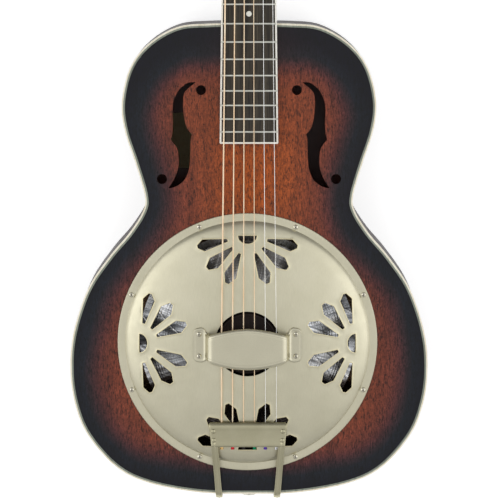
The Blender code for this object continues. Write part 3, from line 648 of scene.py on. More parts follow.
def look_plastic(name, light, dark, rough=0.28, coat=0.2):
    s = Look(name, ior=1.5, coat=coat, coat_rough=0.08)
    swirl = s.noise((5, 5, 9), 4, 0.55, 2.2)
    s.colour(s.ramp(swirl, [(0.3, dark), (0.65, light)]))
    s.rough(s.ramp(s.noise((3, 3, 3), 4), [(0.3, rough - 0.06), (0.7, rough + 0.1)]))
    s.relief(s.noise((1.1, 1.1, 1.1), 3), 0.01, 0.5)
    return s.m


def look_pearl():
    s = Look("pearl_inlay", ior=1.6, coat=0.3, coat_rough=0.05)
    swirl = s.noise((2.2, 3.1, 2), 4, 0.6, 2.5)
    s.colour(s.ramp(swirl, [(0.3, srgb(206, 212, 204)), (0.5, srgb(240, 240, 230)), (0.7, srgb(252, 246, 238))]))
    s.rough(s.ramp(swirl, [(0.3, 0.18), (0.7, 0.32)]))
    s.relief(swirl, 0.01, 0.4)
    return s.m


MATS = {
    "sunburst": look_sunburst(),
    "dark": look_stained(),
    "dark_side": look_stained("dark_mahogany_sides", level=0.04),
    "raw": look_raw("raw_spruce", srgb(170, 130, 88), srgb(118, 84, 54)),
    "biscuit": look_stained_maple(),
    "paper": look_paper(),
    "binding": look_ivoroid("cream_binding_plastic", srgb(247, 241, 222), srgb(232, 224, 198)),
    # painted shade: the same cream binding, coloured grey-green for the inner strip as if it lay in shade
    "binding_painted_shade": look_ivoroid("cream_binding_painted_shade", srgb(140, 146, 132), srgb(116, 124, 112), aged=(120, 118, 98)),
    "black_binding": look_ivoroid("black_binding_plastic", paint(70, 68, 70), paint(52, 50, 52), 0.34, aged=(60, 54, 52), level=0.04),
    "neck_binding": look_ivoroid("neck_binding_plastic", srgb(255, 252, 244), srgb(246, 242, 230), aged=(226, 218, 196)),
    "nickel": look_metal("satin_nickel_plate", srgb(213, 208, 184), srgb(207, 202, 177), tint="lip", brushed=(0.5, 7, 0.5)),
    "nickel_rest": look_metal("satin_nickel_rest", srgb(209, 204, 181), srgb(203, 198, 175), (0.28, 0.36), cloud=40),
    "nickel_tail": look_metal("worn_nickel_tailpiece", srgb(184, 179, 152), srgb(176, 171, 143), (0.30, 0.40), cloud=22),
    "nickel_bright": look_metal("polished_nickel", srgb(214, 212, 202), srgb(184, 182, 172), (0.16, 0.28), cloud=7, grit=0.5, depth=0.006),
    "screw": look_metal("screw_nickel", srgb(232, 228, 212), srgb(206, 200, 180), (0.20, 0.32), cloud=2.2, grit=0.4, depth=0.006, recess_dirt_and_shade=True),
    "steel": look_metal("turned_steel", srgb(176, 178, 180), srgb(132, 134, 138), (0.24, 0.40), cloud=6, grit=0.5),
    "fret": look_metal("nickel_silver_fret", srgb(248, 248, 240), srgb(232, 232, 220), (0.26, 0.36), brushed=(0.4, 6, 0.4), cloud=5, depth=0.004),
    "aluminium": look_cone(),
    "board": look_board(),
    "bone": look_ivoroid("bone", srgb(232, 224, 200), srgb(206, 196, 166), 0.36, 1.1),
    "plain": look_string("plain_steel_string", srgb(254, 254, 252), srgb(240, 240, 238), 0.42),
    "wound": look_string("wound_bronze_string", srgb(255, 236, 208), srgb(246, 214, 176), 0.42, 0.30),
    "button": look_plastic("cream_button_plastic", srgb(240, 230, 200), srgb(218, 202, 160)),
    "pearl": look_pearl(),
}
BALLS = [("silver", (244, 244, 246)), ("purple", (110, 84, 190)), ("green", (30, 150, 104)), ("black", (54, 50, 50)), ("red", (228, 56, 66)), ("gold", (255, 216, 150))]
BALL_MATS = [look_metal(f"ball_end_{n}", srgb(*c), srgb(*(int(v * 0.72) for v in c)), (0.24, 0.4), cloud=1.2, grit=0.3, depth=0.006) for n, c in BALLS]


def piece(obj, mat, slot, *nodes, body=ROOT):
    """Gives a finished piece its material and its body, and hides the CAD nodes that it stands for; slot is not used.
    """
    obj.data.materials.clear()
    obj.data.materials.append(MATS[mat] if isinstance(mat, str) else mat)
    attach(obj, body)
    if nodes:
        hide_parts(*nodes)
    return obj


def dress(node, mat, bevel=None):
    """A CAD node that is shown as it is, with its own finish."""
    obj = NODES[node]
    obj.data.materials.clear()
    obj.data.materials.append(MATS[mat])
    if bevel:
        rounded(obj, bevel)


# =====================================================================================
# body
# =====================================================================================
def smooth_half(points, cuts):
    pts = [Vector(p) for p in points]
    pts = [Vector((-pts[1].x, pts[1].y)), *pts, Vector((-pts[-2].x, pts[-2].y))]
    out = []
    for i in range(1, len(pts) - 2):
        p0, p1, p2, p3 = pts[i - 1:i + 3]
        for k in range(cuts):
            t = k / cuts
            out.append(0.5 * ((2 * p1) + (p2 - p0) * t + (2 * p0 - 5 * p1 + 4 * p2 - p3) * t * t + (3 * p1 - p0 - 3 * p2 + p3) * t ** 3))
    out.append(pts[-2])
    return out


HALF = smooth_half(HALF_OUTLINE, 9)
BODY_X = max(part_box("top_binding")[1].x, 0) / MM
BODY_Y0, BODY_Y1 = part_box("top_binding")[0].y / MM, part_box("top_binding")[1].y / MM


def half_at(offset):
    out = []
    for i, p in enumerate(HALF):
        a = HALF[i - 1] if i else Vector((-HALF[1].x, HALF[1].y))
        b = HALF[i + 1] if i < len(HALF) - 1 else Vector((-HALF[-2].x, HALF[-2].y))
        t = (b - a).normalized()
        q = p + Vector((-t.y, t.x)) * offset
        if i in (0, len(HALF) - 1):
            q.x = 0
        out.append((min(q.x, BODY_X - EDGE + offset), min(max(q.y, BODY_Y0 + EDGE - offset), BODY_Y1 - EDGE + offset)))
    return out


def outline(offset):
    half = half_at(offset)
    return half + [(-x, y) for x, y in half[-2:0:-1]]


def round_the_body(profile):
    """A closed section of (offset from the soundboard's edge, height) points, carried round the body."""
    loops = {o: outline(o) for o in {p[0] for p in profile}}
    n = len(next(iter(loops.values())))
    return loft([[(*loops[o][i], z) for o, z in profile] for i in range(n)], loop=True)


F_LOOP = catmull(F_HOLE, 4, closed=True, corners=F_CORNERS)
top_holes = [circle(RES_X, 0, CONE_HOLE_R, 180)]
for sign in (-1, 1):
    top_holes.append([(sign * x, y) for x, y in F_LOOP])
    for x, y, r in F_DOTS:
        top_holes.append(circle(sign * x, y, r, 40))


def lattice(loop, step, clear):
    """Regular points in staggered rows over the outline's bounding box; clear is not used."""
    xs = [p[0] for p in loop]
    ys = [p[1] for p in loop]
    grid = [(x, y) for j, y in enumerate(np.arange(min(ys), max(ys), step)) for x in np.arange(min(xs) + (step / 2 if j % 2 else 0), max(xs), step)]
    return grid


edge_line = outline(0)
grid = lattice(edge_line, 4.5, 2)
ok = within(grid, [edge_line, *top_holes]) & (distance_to(grid, [edge_line, *top_holes]) > 1.8)
grid = [p for p, k in zip(grid, ok) if k]
rims = [outline(-d) for d in (4, 9)]
top = sheet("soundboard_plate", edge_line, top_holes, grid, lambda x, y: np.full(len(x), TOP_Z), extra=[], thick=PLATE)
co = points_of(top)
d = distance_to(co[:, :2], [outline(EDGE)])
far_end = 17.0 * np.clip((co[:, 1] - 222) / 60, 0, 1) + 5.0 * np.clip((-95 - co[:, 1]) / 50, 0, 1)
store(top, "edge_mm", np.clip(d - far_end, 0, 100))
# painted highlight: how strongly the lighter, warmer orange pool shows, greatest at the upper bout's centre
store(top, "painted_highlight", np.exp(-(((co[:, 0] - 6) / 40) ** 2 + ((co[:, 1] - 165) / 72) ** 2)) * 0.8)
piece(top, "sunburst", "sunburst_mahogany", "soundboard")

inner = lattice(edge_line, 14, 2)
ok = within(inner, [edge_line]) & (distance_to(inner, [edge_line]) > 5)
back = sheet("back_board", edge_line, [], [p for p, k in zip(inner, ok) if k], lambda x, y: np.full(len(x), PLATE), thick=PLATE)
store(back, "bare", (points_of(back)[:, 2] > 2.5).astype(float))
piece(back, "dark", "dark_mahogany", "back_plate")
paper = slab((-96, 166, 3.25), (-38, 222, 3.4), 0.06)
piece(add("paper_label", *paper), "paper", "raw_wood")

SPLIT = 1.75
piece(add("top_binding_outer", *round_the_body([
    (SPLIT, TOP_Z - BINDING_H), (SPLIT, TOP_Z), (EDGE - 0.9, TOP_Z), (EDGE - 0.5, TOP_Z - 0.12), (EDGE - 0.2, TOP_Z - 0.38), (EDGE, TOP_Z - 0.9), (EDGE, TOP_Z - BINDING_H)])),
    "binding", "cream_binding", "top_binding")
# the binding's inner strip takes the grey painted-shade copy of the cream
piece(add("top_binding_inner", *round_the_body([
    (0.05, TOP_Z - BINDING_H), (0.05, TOP_Z - 0.02), (0.2, TOP_Z), (SPLIT - 0.15, TOP_Z), (SPLIT - 0.02, TOP_Z - 0.03), (SPLIT - 0.02, TOP_Z - BINDING_H)])),
    "binding_painted_shade", "cream_binding")
piece(add("back_binding_strip", *round_the_body([
    (0.1, 0.0), (0.1, BINDING_H), (EDGE, BINDING_H), (EDGE, 0.9), (EDGE - 0.2, 0.38), (EDGE - 0.5, 0.12), (EDGE - 0.9, 0.0)])),
    "black_binding", "black_binding", "back_binding")


def side_shell(sign):
    a, b = half_at(EDGE - 0.05), half_at(EDGE - SIDE_T)
    rings = []
    for k, (p, q) in enumerate(zip(a, b)):
        x0, x1 = (0.1, 0.1) if k in (0, len(a) - 1) else (p[0], q[0])
        rings.append([(sign * x0, p[1], BINDING_H + 0.1), (sign * x0, p[1], TOP_Z - BINDING_H - 0.1), (sign * x1, q[1], TOP_Z - BINDING_H - 0.1), (sign * x1, q[1], BINDING_H + 0.1)])
    return loft(rings)


piece(add("bent_side_bass", *side_shell(-1)), "dark_side", "dark_mahogany", "side_bass")
piece(add("bent_side_treble", *side_shell(1)), "dark_side", "dark_mahogany", "side_treble")
for n in ("top_lining", "back_lining", "neck_block", "tail_block", "cone_well"):
    dress(n, "raw")
dress("fingerboard_riser", "dark", 0.4)
dress("biscuit_screw", "steel")
dress("truss_rod", "steel")

# =====================================================================================
# resonator
# =====================================================================================
cone_line = [(1.9, 84.3), (31, 84.3), (33.5, 83.2), (101, 60.9), (107, 63.0), (112, 60.0), (CONE_R, 59.0)]
line = catmull(cone_line, 1)
dense = []
for (r0, z0), (r1, z1) in zip(cone_line, cone_line[1:]):
    n = max(1, int(math.hypot(r1 - r0, z1 - z0) / 0.8))
    for k in range(n):
        t = k / n
        r, z = r0 + (r1 - r0) * t, z0 + (z1 - z0) * t
        dense.append((r, z + (0.09 * math.sin(r * 2 * math.pi / 2.4) if 34 < r < 100 else 0)))
dense.append(cone_line[-1])
RES = Matrix.Translation((RES_X * MM, 0, 0))
spun = add("spun_cone", *lathe(dense + [(r, z - 0.8) for r, z in cone_line[::-1]], 160))
spun.matrix_world = RES
piece(spun, "aluminium", "spun_aluminium", "resonator_cone")

disc = [(1.9, 84.6), (30.2, 84.6), (30.2, 91.9), (29.9, 92.35), (29.4, 92.6), (28.2, 92.6), (27.9, 92.2), (27.3, 92.2), (27.0, 92.6),
        (25.6, 92.6), (25.4, 92.45), (25.0, 92.45), (24.8, 92.6), (1.9, 92.6)]
piece(add("biscuit_disc", *lathe(disc, 96), at=RES), "biscuit", "dark_maple", "biscuit")

rings = []
for x in np.linspace(-28.2, 28.2, 115):
    notch = sum(0.55 * math.exp(-((x - 54 * (0.5 - i / 5)) / 0.55) ** 2) for i in range(6))
    y = SADDLE_Y + 0.05 * x
    top_z = SADDLE_TOP - 0.25 - notch
    rings.append([(x, y - 1.5, 92.9), (x, y - 1.5, top_z - 0.6), (x, y - 1.1, top_z - 0.12), (x, y - 0.4, top_z), (x, y + 0.6, top_z - 0.1), (x, y + 1.5, top_z - 0.8), (x, y + 1.5, 92.9)])
piece(add("bone_saddle", *loft(rings)), "bone", "bone", "saddle")

# ------------------------------------------------------------------ cover plate
COVER_LINE = [(32.2, 94.8), (45, 94.55), (60, 93.9), (80, 92.3), (95, 90.6), (105, 89.2), (112, 87.9), (117.3, 86.2)]


def cover_height(r):
    r = np.array(r, float)
    z = eased([p[0] for p in COVER_LINE], [p[1] for p in COVER_LINE], np.clip(r, 32.2, 117.3))
    steep = np.interp(r, [117.3, 118.6, 119.8, 120.8], [86.2, 85.45, 84.5, 83.42])
    z = np.where(r > 117.3, steep, z)
    z = np.where(r > 120.8, 83.4, z)
    return np.where(r > 127.8, 83.4 - 0.45 * ((r - 127.8) / 0.6) ** 2, z)


def petal(angle):
    if abs(angle) > 1.2:
        side = [(20.0, -0.95), (20.3, -1.35), (43.6, -5.78), (44.0, -5.85), (44.45, -5.65), (49.9, -1.75), (50.3, -1.25)]
    else:
        side = [(18.8, -0.95), (19.1, -1.35), (41.9, -6.33), (42.3, -6.4), (42.75, -6.2), (50.3, -2.1), (50.7, -1.6)]
    shape = side + [(u, -v) for u, v in side[::-1]]
    c, s = math.cos(angle), math.sin(angle)
    return [(u * c - v * s, u * s + v * c) for u, v in shape]


moon = [(0, -9.3)] + [(7.8 * math.cos(a), 9.3 * math.sin(a)) for a in np.linspace(-1.4, 1.4, 19)] + [(0, 9.3)]
moon += [(0, 9.3 * t) for t in (0.5, 0.0, -0.5)]
fans = []
for k in range(4):
    c, s = math.cos(math.pi / 2 * k), math.sin(math.pi / 2 * k)
    for shape in [moon] + [petal(math.radians(a)) for a in (-77.5, -51, -23.5, 23.5, 51, 77.5)]:
        fans.append([((x - FAN_R) * c - y * s, (x - FAN_R) * s + y * c) for x, y in shape])

lips = [grown(f, g) for f in fans for g in (0.3, 0.75, 1.2)]
radii = [33.2, 34.4, 37, 40.5, 44, 48, 52, 56, 60, 64, 68, 72, 76, 80, 84, 88, 92, 96, 100, 103.5, 107, 110, 112.5, 114.5, 116, 117.3, 118.3, 119.2, 120.1, 120.8, 120.95, 122.4, 124.2, 126.0, 127.3, 127.8, 128.1]
polar = []
for i, r in enumerate(radii):
    n = int(max(72, 2 * math.pi * r / 3.6))
    if r > 112:
        n = 220
    polar += [(r * math.cos(2 * math.pi * (k + 0.5 * (i % 2)) / n), r * math.sin(2 * math.pi * (k + 0.5 * (i % 2)) / n)) for k in range(n)]
near = distance_to(polar, fans)
inside_fan = np.zeros(len(polar), bool)
for f in fans:
    inside_fan |= within(polar, [f])
polar = [p for p, dd, ins in zip(polar, near, inside_fan) if dd > 1.8 and not ins]


def cover_top(x, y):
    z = cover_height(np.hypot(x, y))
    dd = distance_to(np.stack([x, y], 1), fans)
    return z + np.interp(dd, [0, 0.3, 0.75, 1.2], [0.04, 0.13, 0.11, 0.0])


cover = sheet("cover_shell", circle(0, 0, COVER_R, 220), [circle(0, 0, COVER_HOLE_R, 120), *fans], polar, cover_top, extra=[circle(0, 0, 120.8, 220), *lips], thick=0.9, angle=24)
co = points_of(cover)
# the paler, yellower tint runs along the fan-hole lips
store(cover, "lip", np.interp(distance_to(co[:, :2], fans), [0, 0.6, 1.3], [0.5, 0.4, 0.0]))
cover.data.transform(RES)
piece(cover, "nickel", "satin_nickel", "cover_plate")


def bolt_mesh(name):
    """A domed head with a cross recess, its seat at height 0."""
    profile = [(0, 1.72)] + [(2.55 * math.sin(a), 0.35 + 1.37 * math.cos(a)) for a in np.linspace(0.25, 1.5, 9)] + [(2.5, 0.0), (0.95, 0.0), (0.95, -3.6), (0.5, -3.9), (0, -4.0)]
    head = add(name, *lathe(profile, 40, closed=False))
    cross = []
    for w, h in ((1.5, 0.32), (0.32, 1.5)):
        cross.append(slab((-w, -h, 0.6), (w, h, 2.6), 0.12))
    cutter = add(name + "_cutter", *merge(cross[0]))
    other = add(name + "_cutter_b", *merge(cross[1]))
    for c in (cutter, other):
        m = head.modifiers.new("Recess", "BOOLEAN")
        m.operation = "DIFFERENCE"
        m.solver = "EXACT"
        m.object = c
    bpy.context.view_layer.update()
    mesh = bpy.data.meshes.new_from_object(head.evaluated_get(bpy.context.evaluated_depsgraph_get()))
    for o in (head, cutter, other):
        bpy.data.objects.remove(o, do_unlink=True)
    mesh.name = name
    mesh.shade_smooth()
    mesh.set_sharp_from_angle(angle=math.radians(32))
    co = np.empty(len(mesh.vertices) * 3, np.float32)
    mesh.vertices.foreach_get("co", co)
    co = co.reshape(-1, 3) / MM
    # mark the cross recess, where dirt and painted shade darken the head
    recess_dirt_and_shade = (co[:, 2] < 0.75) & (np.hypot(co[:, 0], co[:, 1]) < 1.9) & (co[:, 2] > 0)
    mesh.attributes.new("recess_dirt_and_shade", "FLOAT", "POINT").data.foreach_set("value", recess_dirt_and_shade.astype(np.float32))
    return mesh


BOLT = bolt_mesh("cross_screw")


def bolt(name, node, x, y, seat, turn):
    obj = bpy.data.objects.new(name, BOLT.copy())
    obj.matrix_world = Matrix.Translation(Vector((x, y, seat)) * MM) @ Matrix.Rotation(turn, 4, "Z")
    bpy.context.scene.collection.objects.link(obj)
    return piece(obj, "screw", "satin_nickel", node)


for i in range(8):
    a = math.radians(22.5 + 45 * i)
    bolt(f"cover_bolt_{i + 1}", f"cover_screw_{i + 1}", RES_X + SCREW_RING_R * math.cos(a), SCREW_RING_R * math.sin(a), 83.5, 0.7 * i + 0.3)

# ------------------------------------------------------------------ hand rest
ARCH = [(0, 115.05), (12, 115.0), (24, 114.85), (32, 114.6), (35.2, 114.35), (37.2, 113.75), (38.6, 112.7), (39.4, 111.2), (39.8, 109.0), (40.1, 105.5), (40.4, 101.0), (40.8, 98.7), (41.4, 97.5), (42.6, 96.75), (44.4, 96.5), (50, 96.5), (53.6, 96.5)]
NECK_SIDE = [(0, 18.6), (10, 17.8), (20, 16.2), (30, 14.0), (37.0, 12.1), (39.6, 11.3), (40.6, 11.6), (41.6, 13.4), (42.6, 15.6), (44.0, 16.9), (49.0, 16.9)]
TAIL_SIDE = [(0, 22.5), (10, 22.0), (20, 20.5), (30, 18.2), (37.0, 15.9), (39.6, 15.0), (40.6, 14.9), (41.6, 15.2), (42.6, 16.2), (44.0, 16.9), (49.0, 16.9)]
half_line = catmull(ARCH, 4)
stations = []
for x, z in half_line:
    up = float(eased([p[0] for p in NECK_SIDE], [p[1] for p in NECK_SIDE], min(x, 49.0))[0])
    down = float(eased([p[0] for p in TAIL_SIDE], [p[1] for p in TAIL_SIDE], min(x, 49.0))[0])
    if x > 48.2:
        up = down = 16.9 - 5.4 + math.sqrt(max(0.0, 29.16 - min(5.4, x - 48.2) ** 2))
    stations.append((x, z, up, down))
line = [(-x, z, u, d) for x, z, u, d in stations[:0:-1]] + stations
ROLL = [(0.0, -2.6), (0.25, -1.75), (0.7, -1.0), (1.3, -0.5), (2.1, -0.2), (3.0, -0.06), (3.7, 0.0), (3.95, -0.10), (4.3, 0.0)]
RIM = [(0.0, -0.7), (0.25, -0.3), (0.7, -0.04), (1.3, 0.0), (1.8, -0.02), (2.1, -0.22), (2.4, -0.24), (3.2, -0.24), (4.3, -0.24)]
rows = []
for i, (x, z, up, down) in enumerate(line):
    a, b = line[max(i - 1, 0)], line[min(i + 1, len(line) - 1)]
    t = Vector((b[0] - a[0], b[1] - a[1])).normalized()
    nx, nz = -t.y, t.x
    foot = min(1.0, max(0.0, (abs(x) - 39.8) / 2.6))
    past_rim = min(1.0, max(0.0, (53.6 - abs(x) - 1.9) / 0.4))
    row = []
    for (e, lift), (_, low) in zip(ROLL, RIM):
        row.append((-down + e, lift * (1 - foot) + low * foot if past_rim or e < 1.9 else 0.0))
    row += [(v, -0.24 * foot * past_rim) for v in np.linspace(-down + 5.4, up - 5.4, 13)]
    for (e, lift), (_, low) in list(zip(ROLL, RIM))[::-1]:
        row.append((up - e, lift * (1 - foot) + low * foot if past_rim or e < 1.9 else 0.0))
    rows.append([(x + nx * l, y + REST_Y, z + nz * l) for y, l in row])
rest = add("hand_rest_shell", *loft(rows, around=False, caps=False), fix=False, angle=50)
if rest.data.polygons[len(rest.data.polygons) // 2].normal.z < 0:
    rest.data.flip_normals()
thickened(rest, 1.3, 50)
rest.data.transform(RES)
piece(rest, "nickel_rest", "satin_nickel", "hand_rest")
for i, (sx, sy) in enumerate([(sx, sy) for sx in (-1, 1) for sy in (-1, 1)]):
    bolt(f"rest_bolt_{i + 1}", f"hand_rest_screw_{i + 1}", RES_X + sx * 47.7, sy * 10.9 - 1.0, 96.6, 0.5 + 0.9 * i)

# =====================================================================================
# tailpiece
# =====================================================================================
bar = [(-77.9, 95.7), (-78.4, 96.6), (-79.3, 97.5), (-80.6, 98.2), (-82.4, 98.55), (-84.5, 98.3), (-87, 98.2), (-93, 98.2), (-98.5, 98.25), (-100.6, 98.5), (-101.8, 98.4), (-102.4, 97.9)]
rows = []
for y, z in bar:
    hw = float(np.interp(y, [-102.4, -101.4, -80.5, -79.0, -77.9], [36.3, 36.5, 38.7, 38.3, 37.0]))
    row = []
    for u, drop in ((-1, 1.0), (-0.996, 0.45), (-0.985, 0.12), (-0.965, 0), *((v, 0) for v in np.linspace(-0.93, 0.93, 25)), (0.965, 0), (0.985, 0.12), (0.996, 0.45), (1, 1.0)):
        row.append((u * hw, y, z - drop))
    rows.append(row)
tail = add("tail_bar_mesh", *loft(rows, around=False, caps=False), fix=False, angle=50)
PATH = catmull([(-97.0, 98.0), (-101.5, 98.0), (-112, 95.5), (-130, 90.9), (-148.0, 86.3), (-152.2, 84.8), (-155.3, 82.0), (-156.3, 78.6), (-156.3, 60.0), (-156.3, HINGE_Z + 2.0)], 5)
leg_parts = []
for sign in (-1, 1):
    rows = []
    for i, (y, z) in enumerate(PATH):
        a, b = PATH[max(i - 1, 0)], PATH[min(i + 1, len(PATH) - 1)]
        t = Vector((b[0] - a[0], b[1] - a[1])).normalized()
        ny, nz = t.y, -t.x
        share = np.interp(y, [-159, -101.4], [0, 1])
        x0, x1 = 25.2 + (29.7 - 25.2) * share, 31.8 + (36.4 - 31.8) * share
        row = []
        for e, up in ((0.0, -1.2), (0.02, -0.4), (0.07, -0.05), (0.16, 0.1), (0.36, 0.12), (0.45, 0.5), (0.5, 0.6), (0.55, 0.5), (0.64, 0.12), (0.84, 0.1), (0.93, -0.05), (0.98, -0.4), (1.0, -1.2)):
            row.append((sign * (x0 + (x1 - x0) * e), y + ny * up, z + nz * up))
        rows.append(row)
    leg_parts.append(loft(rows, around=False, caps=False))
legs = add("tail_legs_mesh", *merge(*leg_parts), fix=False, angle=50)
for o in (tail, legs):
    bpy.context.view_layer.update()
    up = [p for p in o.data.polygons if abs(p.normal.z) > 0.7]
    flip = [p.index for p in up if p.normal.z < 0]
    bm = bmesh.new()
    bm.from_mesh(o.data)
    bm.faces.ensure_lookup_table()
    bmesh.ops.recalc_face_normals(bm, faces=bm.faces)
    seen = set()
    for f in bm.faces:
        if f.index in seen:
            continue
        island, todo = [], [f]
        seen.add(f.index)
        while todo:
            g = todo.pop()
            island.append(g)
            for e in g.edges:
                for h in e.link_faces:
                    if h.index not in seen:
                        seen.add(h.index)
                        todo.append(h)
        if sum(g.normal.z * g.calc_area() for g in island) < 0:
            bmesh.ops.reverse_faces(bm, faces=island)
    bm.to_mesh(o.data)
    bm.free()
    thickened(o, 1.4, 50)
tail.name, legs.name = "tailpiece_bar", "tailpiece_legs"
TAIL = Matrix.Translation((TAIL_X * MM, 0, 0))
for o in (tail, legs):
    o.data.transform(TAIL)
piece(tail, "nickel_tail", "satin_nickel", "tailpiece_frame")
piece(legs, "nickel_tail", "satin_nickel")
knuckles = [tube([(s * 26.0 + TAIL_X, HINGE_Y, HINGE_Z), (s * 31.8 + TAIL_X, HINGE_Y, HINGE_Z)], 2.9, 28) for s in (-1, 1)]
piece(add("tailpiece_knuckles", *merge(*knuckles)), "nickel_tail", "satin_nickel")
dome = [(0, 1.1)] + [(2.35 * math.sin(a), 1.1 * math.cos(a)) for a in np.linspace(0.2, math.pi / 2, 8)] + [(0.8, -0.6), (0, -0.6)]
rivets = []
for sx in (-1, 1):
    for y in (-86.6, -95.6):
        rivets.append(moved(lathe(dome, 28, closed=False), Matrix.Translation((sx * (34.4 + (y + 86.6) * 0.06), y, 98.25))))
piece(add("tailpiece_rivets", *merge(*rivets), at=TAIL), "nickel_tail", "satin_nickel")
dress("string_retainer", "nickel_tail", 0.25)
dress("tailpiece_hinge_plate", "nickel_tail", 0.3)
dress("tailpiece_hinge_pin", "steel", 0.3)
button = [(0, 10.0), (5.2, 10.0), (6.3, 9.75), (6.9, 9.1), (7.0, 8.3), (6.6, 7.4), (5.4, 6.3), (4.5, 5.2), (4.15, 4.0), (4.3, 2.8), (4.9, 1.2), (5.6, 0.2), (5.6, 0), (2.2, 0), (2.2, -14.3), (0, -15.4)]
piece(add("strap_peg", *lathe(button, 64, closed=False), at=Matrix.Translation((0, -154.8 * MM, STRAP_Z * MM)) @ Matrix.Rotation(math.radians(90), 4, "X")),
      "nickel_bright", "satin_nickel", "strap_button")


# =====================================================================================
# neck
# =====================================================================================
def board_z(y):
    return BOARD_Z12 + (FRET_12_Y - y) * NECK_SLOPE


def board_half(y):
    return (BOARD_NUT_W + (BOARD_END_W - BOARD_NUT_W) * (NUT_Y - y) / (NUT_Y - BOARD_END_Y)) / 2


def fret_y(n):
    return NUT_Y - SCALE * (1 - 2 ** (-n / 12))


BIND = 1.7
rows = []
for y in [BOARD_END_Y + BIND + 0.05] + list(np.linspace(BOARD_END_Y + 4, NUT_Y, 90)):
    w, z = board_half(y) - BIND - 0.05, board_z(y)
    rows.append([(-w, y, z - BOARD_T), (w, y, z - BOARD_T), (w, y, z), *((w * u, y, z) for u in np.linspace(0.9, -0.9, 19)), (-w, y, z)])
piece(add("fingerboard_slab", *loft(rows)), "board", "rosewood", "fingerboard")

crown = [(1.0 * math.cos(a), 0.98 * math.sin(a) ** 0.8) for a in np.linspace(0, math.pi, 11)]
frets = []
for n in range(1, FRETS + 1):
    y = fret_y(n)
    w = board_half(y) - 0.35
    rings = []
    for x, k in ((-w, 0.25), (-w + 0.15, 0.7), (-w + 0.5, 1.0), *((u, 1.0) for u in np.linspace(-w + 2, w - 2, 5)), (w - 0.5, 1.0), (w - 0.15, 0.7), (w, 0.25)):
        rings.append([(x, y + cy, board_z(y) - 0.02 + cz * k) for cy, cz in crown])
    frets.append(loft(rings))
piece(add("frets", *merge(*frets)), "fret", "rosewood")

dots = []
for n in (3, 5, 7, 9, 12):
    y = (fret_y(n) + fret_y(n - 1)) / 2
    dots.append(moved(lathe([(0, 0.06), (2.5, 0.06), (2.75, -0.02), (2.75, -0.4), (0, -0.4)], 40, closed=False), Matrix.Translation((0, y, board_z(y)))))
piece(add("fingerboard_dots", *merge(*dots)), "pearl", "rosewood")


def end_corner(half, y_end, r):
    return [(half - r + r * math.cos(a), y_end + r - r * math.sin(a)) for a in np.linspace(0, math.pi / 2, 7)]


outer_u = [(board_half(NUT_Y), NUT_Y)] + end_corner(board_half(BOARD_END_Y), BOARD_END_Y, 1.1)
inner_u = [(board_half(NUT_Y) - BIND, NUT_Y)] + end_corner(board_half(BOARD_END_Y) - BIND, BOARD_END_Y + BIND, 0.3)
outer_u = outer_u + [(-x, y) for x, y in outer_u[::-1]]
inner_u = inner_u + [(-x, y) for x, y in inner_u[::-1]]
rings = []
for (ox, oy), (ix, iy) in zip(outer_u, inner_u):
    zo, zi = board_z(oy), board_z(iy)
    mx, my = ox + (ix - ox) * 0.22, oy + (iy - oy) * 0.22
    rings.append([(ox, oy, zo - BOARD_T), (ox, oy, zo - 0.45), (mx, my, zo), (ix, iy, zi), (ix, iy, zi - BOARD_T)])
piece(add("fingerboard_edge", *loft(rings)), "neck_binding", "cream_binding", "fingerboard_binding")

HEEL_Y = HALF_OUTLINE[0][1] + EDGE + GAP
STATIONS = [(HEEL_Y, 73.0, 1.30), (321, 66.0, 1.30), (327, 54.0, 1.20), (335, 41.0, 1.05), (346, 30.0, 0.95), (362, 23.8, 0.86), (385, 21.6, 0.82), (NUT_Y + 4.6, 19.4, 0.82)]
ys = [s[0] for s in STATIONS]
rings = []
for y in sorted(set(list(np.linspace(HEEL_Y, 385, 40)) + list(np.linspace(385, NUT_Y + 4.6, 24)))):
    depth = float(np.interp(y, ys, [s[1] for s in STATIONS]))
    if y < 385:
        depth = float(eased(ys[:7], [s[1] for s in STATIONS[:7]], y)[0])
    power = float(np.interp(y, ys, [s[2] for s in STATIONS]))
    top_z, w = board_z(min(y, NUT_Y)) - BOARD_T - GAP + 0.2, board_half(min(y, NUT_Y))
    ring = []
    for k in range(33):
        t = math.pi * k / 32
        c, s = math.cos(t), math.sin(t)
        x = math.copysign(abs(c) ** power, c) * w if abs(c) > 1e-9 else 0.0
        ring.append((x, y, top_z - depth * s ** 0.9 if s > 1e-9 else top_z))
    rings.append(ring)
neck_shaft = loft(rings)
HEAD_ORIGIN = Vector((0, NUT_Y + 2.0, board_z(NUT_Y) - BOARD_T - GAP - 0.4))
HEAD = Matrix.Translation(HEAD_ORIGIN * MM) @ Matrix.Rotation(-HEAD_PITCH, 4, "X")
HEAD_MM = Matrix.Translation(HEAD_ORIGIN) @ Matrix.Rotation(-HEAD_PITCH, 4, "X")
piece(add("neck_shaft", *neck_shaft, angle=40), "dark", "dark_mahogany", "neck")

